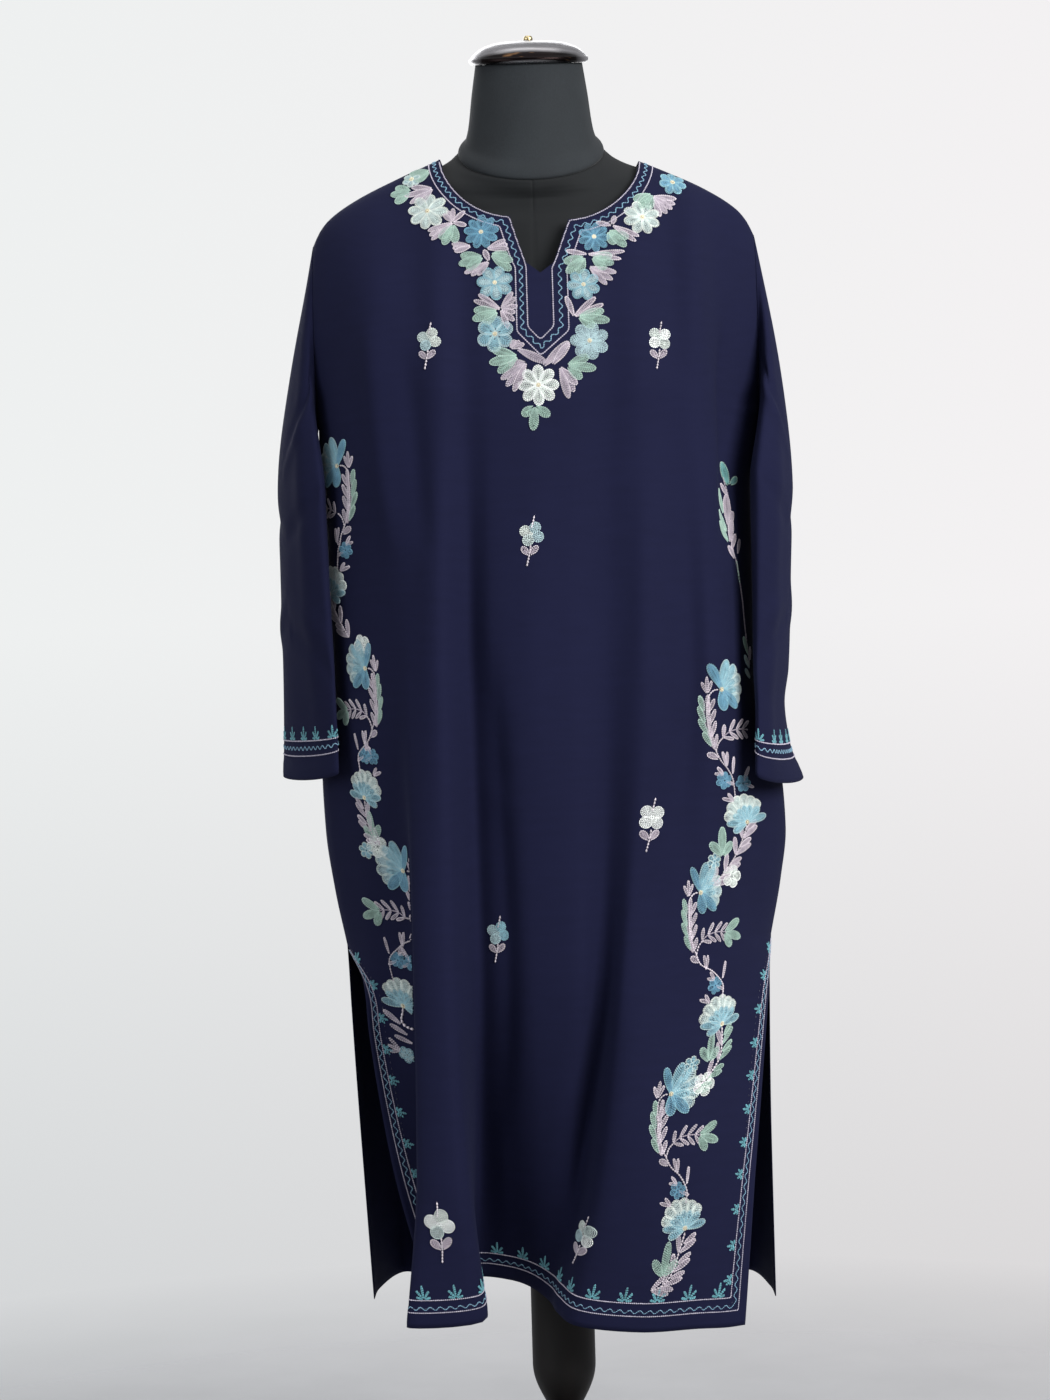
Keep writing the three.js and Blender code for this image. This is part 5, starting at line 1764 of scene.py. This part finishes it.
def build_torso(material):
    """The torso, a little inside its ovals where the cloth covers it, and rounded at both ends."""
    turns = form_turns(112)
    low, high = TORSO["z"][0], TORSO["z"][-1]
    levels = np.concatenate([np.linspace(low, SHOULDER_BASE, 36), np.linspace(SHOULDER_BASE, high, 38)])
    rings = []
    for z in np.unique(levels):
        sizes = {name: through(TORSO["z"], values, z) for name, values in TORSO.items() if name != "z"}
        inset = mix(*FORM_INSET, ramp(CHEST - 2, 1410, z))
        inset += 1.2 * (1 - ramp(low, low + 4, z)) + 0.9 * ramp(high - 2.5, high, z)
        for name in ("width", "front", "back"):
            sizes[name] = sizes[name] - inset
        ring = tilted_oval(0, z, turns=turns, **sizes)
        ring[:, 1] -= np.sign(ring[:, 1]) * form_seam(ring)
        rings.append(ring)
    return ring_solid("dress_form_torso", rings, material)


def build_neck(material):
    turns = form_turns(110)
    foot = {name: values[-1] for name, values in TORSO.items()}
    rings = []
    for share in np.linspace(0, 1, 40):
        y = mix(0, NECK_TOP["y"], share)
        spare = through(NECK_SIDE["share"], NECK_SIDE["width"], share)
        spare -= mix(foot["width"], NECK_TOP["radius"], share)
        ring = tilted_oval(
            y,
            mix(foot["z"] + SEAM_GAP, NECK_TOP["z"], share),
            *(mix(foot[name], NECK_TOP["radius"], share) + spare for name in ("width", "front", "back")),
            *(mix(foot[name], NECK_TOP["tilt"], share) for name in ("dip", "rise")),
            NECK_TOP["roundness"],
            turns,
        )
        ring[:, 1] -= form_seam(ring) * (ring[:, 1] > y)
        rings.append(ring)
    return ring_solid("dress_form_neck", rings, material)


def lid_place(height):
    """The frame of the cap, or of the knob on it at that height."""
    frame_of_lid = Matrix.Translation((0, NECK_TOP["y"], NECK_TOP["z"] + SEAM_GAP))
    tilt = Matrix.Rotation(math.radians(NECK_TOP["tilt"]), 4, "X")
    return np.array(frame_of_lid @ tilt @ Matrix.Translation((0, 0, height)))


def build_cap(material):
    radius, height, rim = CAP["radius"], CAP["height"], CAP["rim"]
    profile = [(radius - 2, 0), (radius, 2), (radius, rim), (radius - 1.6, rim + 1.4), (radius - 4, rim + 4)]
    profile += [(radius - 11, rim + 10), (radius - 21, height - 3), (radius - 33, height - 0.8)]
    profile += [(radius - 46, height), (3, height)]
    return lathe("metal_neck_cap", rounded(profile, 4, 5), 112, material, lid_place(0))


def build_knob(material):
    radius, height = KNOB["radius"], KNOB["height"]
    profile = [(radius, 0), (radius, height * 0.5), (radius * 0.7, height * 0.9), (0.4, height)]
    return lathe("brass_knob", rounded(profile, 1.2, 5), 40, material, lid_place(CAP["height"] + SEAM_GAP))


def build_column(material):
    radius, stem = COLUMN["radius"], COLUMN["stem"]
    bottom, top = BASE["height"] + SEAM_GAP, TORSO["z"][0] - SEAM_GAP
    hub, hub_top = COLUMN["hub"], COLUMN["hub_top"]
    profile = [(hub, bottom), (hub, hub_top - 8), (hub - 5, hub_top), (stem + 2, hub_top + 10)]
    profile += [(stem, hub_top + 26), (stem, COLUMN["stem_top"])]
    for share in np.linspace(0, 1, 15)[1:]:
        out = stem + (radius - stem) * math.sin(share * math.pi / 2)
        profile.append((out, mix(COLUMN["stem_top"], COLUMN["shoulder"], share)))
    profile += [(radius, mix(COLUMN["shoulder"], top, s)) for s in (0.25, 0.5, 0.75)] + [(radius, top)]
    return lathe("turned_wooden_column", rounded(profile, 3, 4), 64, material)


def build_base(material):
    radius, height, edge = BASE["radius"], BASE["height"], BASE["edge"]
    profile = [(radius - 3, 0), (radius, 3), (radius, height - edge - 4), (radius - 2.5, height - edge)]
    profile += [(radius - 9, height - 5), (BASE["crown"], height), (20, height)]
    return lathe("round_wooden_base", rounded(profile, 5, 6), 128, material)


# ---- The add-on

CLOTHS = {}


def cloth_of(piece):
    """The cloth of a piece, worked out when it is first needed."""
    if piece not in CLOTHS:
        CLOTHS[piece] = body_cloth(piece) if piece in BODY else sleeve_cloth(piece)
    return CLOTHS[piece]


def flat_area(cloth):
    """The flat area of a piece in square metres, from the mesh's own cells."""
    grid = wrapped(cloth.grid) if cloth.closed else cloth.grid
    first, second = grid[1:, 1:] - grid[:-1, :-1], grid[1:, :-1] - grid[:-1, 1:]
    return float(np.linalg.norm(np.cross(first, second), axis=-1).sum() / 2 * MM * MM)


class PheranSettings(bpy.types.PropertyGroup):
    wool_colour: FloatVectorProperty(
        name="Wool", description="Colour of the wool",
        subtype="COLOR", size=3, default=srgb(18, 20, 43),
    )
    bloom: FloatProperty(
        name="Bloom", description="Soft sheen of the wool's surface",
        default=0.05, min=0, max=1, subtype="FACTOR",
    )
    link_length: FloatProperty(
        name="Stitch length", description="Length of one chain stitch",
        default=0.00245, min=0.0005, subtype="DISTANCE",
    )
    link_width: FloatProperty(
        name="Stitch width", description="Width of one chain stitch",
        default=0.00145, min=0.0002, subtype="DISTANCE",
    )
    link_height: FloatProperty(
        name="Stitch height", description="How far a stitch stands up",
        default=0.0006, min=0.0001, subtype="DISTANCE",
    )
    unevenness: FloatProperty(
        name="Unevenness", description="How much hand stitches differ",
        default=0.1, min=0, max=0.5, subtype="FACTOR",
    )
    seed: IntProperty(name="Seed", description="Start of the stitches' chance differences", default=7, min=0)


def finish_piece(obj, slot_name, *nodes):
    """Parents a piece to the root, which it moves with, and hides the solids it stands for. slot_name, what it
    is made of, is not used.
    """
    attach(obj, "root")
    if nodes:
        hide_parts(*nodes)


def embroider(name, settings, *designs):
    thread = made_once("Embroidery thread", thread_material)
    finish_piece(stitched_piece(name, designs, settings, thread), "embroidery_thread")


class PheranOperator:
    """What the operators share."""

    bl_options = {"REGISTER", "UNDO"}


class PHERAN_OT_body(PheranOperator, bpy.types.Operator):
    """Makes the front and the back of the pheran."""

    bl_idname = "pheran.body"
    bl_label = "Front and back"

    def execute(self, context):
        wool = made_once("Navy wool", wool_material, context.scene.pheran)
        for piece in ("front", "back"):
            finish_piece(cloth_wall(f"pheran_{piece}", cloth_of(piece), wool), "wool", f"{piece}_panel")
        return {"FINISHED"}


class PHERAN_OT_sleeves(PheranOperator, bpy.types.Operator):
    """Makes the two sleeves."""

    bl_idname = "pheran.sleeves"
    bl_label = "Sleeves"

    def execute(self, context):
        wool = made_once("Navy wool", wool_material, context.scene.pheran)
        for side in ("right", "left"):
            finish_piece(cloth_wall(f"{side}_pheran_sleeve", cloth_of(side), wool), "wool", f"{side}_sleeve")
        return {"FINISHED"}


class PHERAN_OT_embroidery(PheranOperator, bpy.types.Operator):
    """Works the garland, the vines and the scattered flowers on the front."""

    bl_idname = "pheran.embroidery"
    bl_label = "Embroidery"

    def execute(self, context):
        front = cloth_of("front")
        garland, left, right = Design(front), Design(front), Design(front, covered_by_fold)
        draw_garland(garland)
        for row in BUTTIS:
            garland.face(row["x"], row["z"], row["turn"])
            butti(garland, row["size"], row["petals"].split(), row["twist"])
        draw_right_vine(right)
        draw_left_vine(left)
        settings = context.scene.pheran
        embroider("embroidered_garland", settings, garland)
        embroider("embroidered_left_vine", settings, left)
        embroider("embroidered_right_vine", settings, right)
        return {"FINISHED"}


class PHERAN_OT_borders(PheranOperator, bpy.types.Operator):
    """Works the bands round the neck, the hem, the slits and the cuffs."""

    bl_idname = "pheran.borders"
    bl_label = "Borders"

    def execute(self, context):
        settings = context.scene.pheran
        front, back = cloth_of("front"), cloth_of("back")
        neck, nape, hem, hem_stitches = Design(front), Design(back), Design(front), Design(front)
        draw_neck(neck, nape)
        embroider("embroidered_neck_band", settings, neck, nape)
        draw_hem(hem)
        draw_hem_stitching(hem_stitches)
        embroider("embroidered_hem_border", settings, hem, hem_stitches)
        for side in ("right", "left"):
            cuff = Design(cloth_of(side))
            draw_cuff(cuff)
            embroider(f"embroidered_{side}_cuff", settings, cuff)
        return {"FINISHED"}


class PHERAN_OT_dress_form(PheranOperator, bpy.types.Operator):
    """Makes the dress form's torso and neck, its metal cap and the knob."""

    bl_idname = "pheran.dress_form"
    bl_label = "Dress form"

    def execute(self, context):
        # The torso's jersey is a copy darkened to 0.6 as painted shade, for the shadow it lies in under the
        # pheran round the neckline.
        jersey = jersey_material("Charcoal jersey of the torso in painted shade", 0.6)
        finish_piece(build_torso(jersey), "jersey", "form_torso")
        jersey = jersey_material("Charcoal jersey of the neck", 1.0)
        finish_piece(build_neck(jersey), "jersey", "form_neck")
        finish_piece(build_cap(cap_material()), "cap_metal", "neck_cap")
        finish_piece(build_knob(brass_material()), "knob_brass", "cap_knob")
        return {"FINISHED"}


class PHERAN_OT_stand(PheranOperator, bpy.types.Operator):
    """Makes the turned column and the round base."""

    bl_idname = "pheran.stand"
    bl_label = "Stand"

    def execute(self, context):
        wood = wood_material()
        finish_piece(build_column(wood), "dark_wood", "stand_column")
        finish_piece(build_base(wood), "dark_wood", "stand_base")
        return {"FINISHED"}


class PHERAN_OT_stage(PheranOperator, bpy.types.Operator):
    """Sets the plain stage, its lights and the camera."""

    bl_idname = "pheran.stage"
    bl_label = "Stage"

    def execute(self, context):
        scene = context.scene
        scene.view_settings.view_transform = "Standard"
        build_world(scene)
        build_floor()
        build_lights(scene)
        build_camera(scene)
        return {"FINISHED"}


def build_world(scene):
    """Pale studio air: what the camera sees fades downwards, and what lights the cloth is even."""
    world = bpy.data.worlds.new("Studio")
    scene.world = world
    world.use_nodes = True
    graph = Graph(world.node_tree)
    across, _, up = graph.parts(graph.add("ShaderNodeTexCoord").outputs["Generated"])
    side = graph.spread(across, -0.19, 0.19)
    lower = graph.blend(side, shade(206, 208, 210), shade(213, 211, 212))
    upper = graph.blend(side, shade(238, 240, 240), shade(243, 241, 242))
    height = graph.spread(up, -0.27, 0.03)
    seen = graph.add("ShaderNodeBackground", {0: graph.blend(height, lower, upper), 1: 1.0})
    air = graph.blend(graph.spread(up, -1.0, 1.0), shade(150, 150, 155), shade(235, 236, 240))
    lit = graph.add("ShaderNodeBackground", {0: air, 1: 0.7})
    ray = graph.add("ShaderNodeLightPath").outputs["Is Camera Ray"]
    both = graph.add("ShaderNodeMixShader", {0: ray, 1: lit.outputs[0], 2: seen.outputs[0]})
    graph.add("ShaderNodeOutputWorld", {0: both.outputs[0]})


def build_floor():
    """A pale round floor that fades out with distance."""
    graph = Surface("Studio floor")
    far = graph.add("ShaderNodeVectorMath", {0: graph.place}, operation="LENGTH").outputs["Value"]
    grain = graph.noise(graph.place, 6.0, 3.0, 0.5)
    material = graph.finish(
        Base_Color=graph.blend(graph.spread(grain, 0.3, 0.7), shade(150, 151, 153), shade(157, 158, 160)),
        Roughness=0.9,
        Specular_IOR_Level=0.1,
        Alpha=graph.spread(far, 0.7, 1.8, 1.0, 0.0),
    )
    around = 96
    turn = full_turn(around)
    rings = [stack(radius * np.cos(turn), radius * np.sin(turn), -2.0) for radius in (0.5, 500, 1000, 2000)]
    i = np.arange(around)
    j = (i + 1) % around
    faces = [i.tolist()]
    for inner in range(0, 3 * around, around):
        outer = inner + around
        faces += stack(inner + i, outer + i, outer + j, inner + j).tolist()
    return add_mesh("studio_floor", np.concatenate(rings) * MM, faces, material)


def build_lights(scene):
    """A large soft key from the front right, a broad fill from the left and a weak top light."""
    rows = [
        ("Key", (2.0, -2.3, 2.15), (0.05, 0, 1.0), 1.7, 168.0, (1.0, 0.985, 0.97)),
        ("Fill", (-2.6, -1.9, 1.5), (-0.05, 0, 0.9), 2.2, 40.0, (0.95, 0.975, 1.0)),
        ("Top", (0.0, -0.4, 3.4), (0, 0, 1.2), 2.0, 14.0, (1.0, 1.0, 1.0)),
        ("Back", (-0.6, 2.6, 2.0), (0, 0, 1.1), 2.4, 50.0, (0.98, 0.99, 1.0)),
    ]
    for name, place, target, size, power, tint in rows:
        light = bpy.data.lights.new(name, "AREA")
        light.shape = "SQUARE"
        light.size = size
        light.energy = power
        light.color = tint
        obj = bpy.data.objects.new(name, light)
        scene.collection.objects.link(obj)
        turn = (Vector(target) - Vector(place)).to_track_quat("-Z", "Y")
        obj.matrix_world = Matrix.Translation(place) @ turn.to_matrix().to_4x4()


def build_camera(scene):
    camera = bpy.data.cameras.new("Camera")
    camera.sensor_width = CAMERA["sensor"]
    camera.lens = CAMERA["lens"]
    camera.clip_start = 0.05
    camera.clip_end = 50
    roll = math.atan(CAMERA["roll"])
    sine, cosine = math.sin(roll), math.cos(roll)
    x, y, z = (CAMERA[axis] * MM for axis in "xyz")
    obj = bpy.data.objects.new("Camera", camera)
    scene.collection.objects.link(obj)
    obj.matrix_world = Matrix(((cosine, sine, 0, x), (0, 0, -1, y), (-sine, cosine, 0, z), (0, 0, 0, 1)))
    scene.camera = obj


class PHERAN_PT_panel(bpy.types.Panel):
    """The pheran's settings and the buttons that build it."""

    bl_label = "Pheran on a dress form"
    bl_idname = "PHERAN_PT_panel"
    bl_space_type = "VIEW_3D"
    bl_region_type = "UI"
    bl_category = "Pheran"

    def draw(self, context):
        settings = context.scene.pheran
        for name in PheranSettings.__annotations__:
            self.layout.prop(settings, name)
        for operator in OPERATORS:
            self.layout.operator(operator.bl_idname)


OPERATORS = (
    PHERAN_OT_body,
    PHERAN_OT_sleeves,
    PHERAN_OT_embroidery,
    PHERAN_OT_borders,
    PHERAN_OT_dress_form,
    PHERAN_OT_stand,
    PHERAN_OT_stage,
)
CLASSES = (PheranSettings, *OPERATORS, PHERAN_PT_panel)


def register():
    for cls in CLASSES:
        bpy.utils.register_class(cls)
    bpy.types.Scene.pheran = PointerProperty(type=PheranSettings)


def unregister():
    del bpy.types.Scene.pheran
    for cls in reversed(CLASSES):
        bpy.utils.unregister_class(cls)


def declare_cloth():
    """Works out the width, length and flat area of each piece of cloth before it was sewn and hung, and does
    nothing more with them.
    """
    on_front = ["embroidered_garland", "embroidered_left_vine", "embroidered_right_vine"]
    on_front += ["embroidered_neck_band", "embroidered_hem_border"]
    for piece, extra in (("front", on_front), ("back", [])):
        cloth = cloth_of(piece)
        width = float((cloth.u[:, -1] - cloth.u[:, 0]).max() * MM)
        length = float((cloth.v.max() - HEM) * MM)
        area = flat_area(cloth)
        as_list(extra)
    for side in ("right", "left"):
        cloth = cloth_of(side)
        width = float(cloth.u[:, -1].max() * MM)
        length = float(cloth.v[-1].max() * MM)
        area = min(flat_area(cloth), width * length)


def main():
    register()
    for operator in OPERATORS:
        name = operator.bl_idname.split(".")[1]
        getattr(bpy.ops.pheran, name)()
    declare_cloth()


if __name__ == "__main__":
    main()
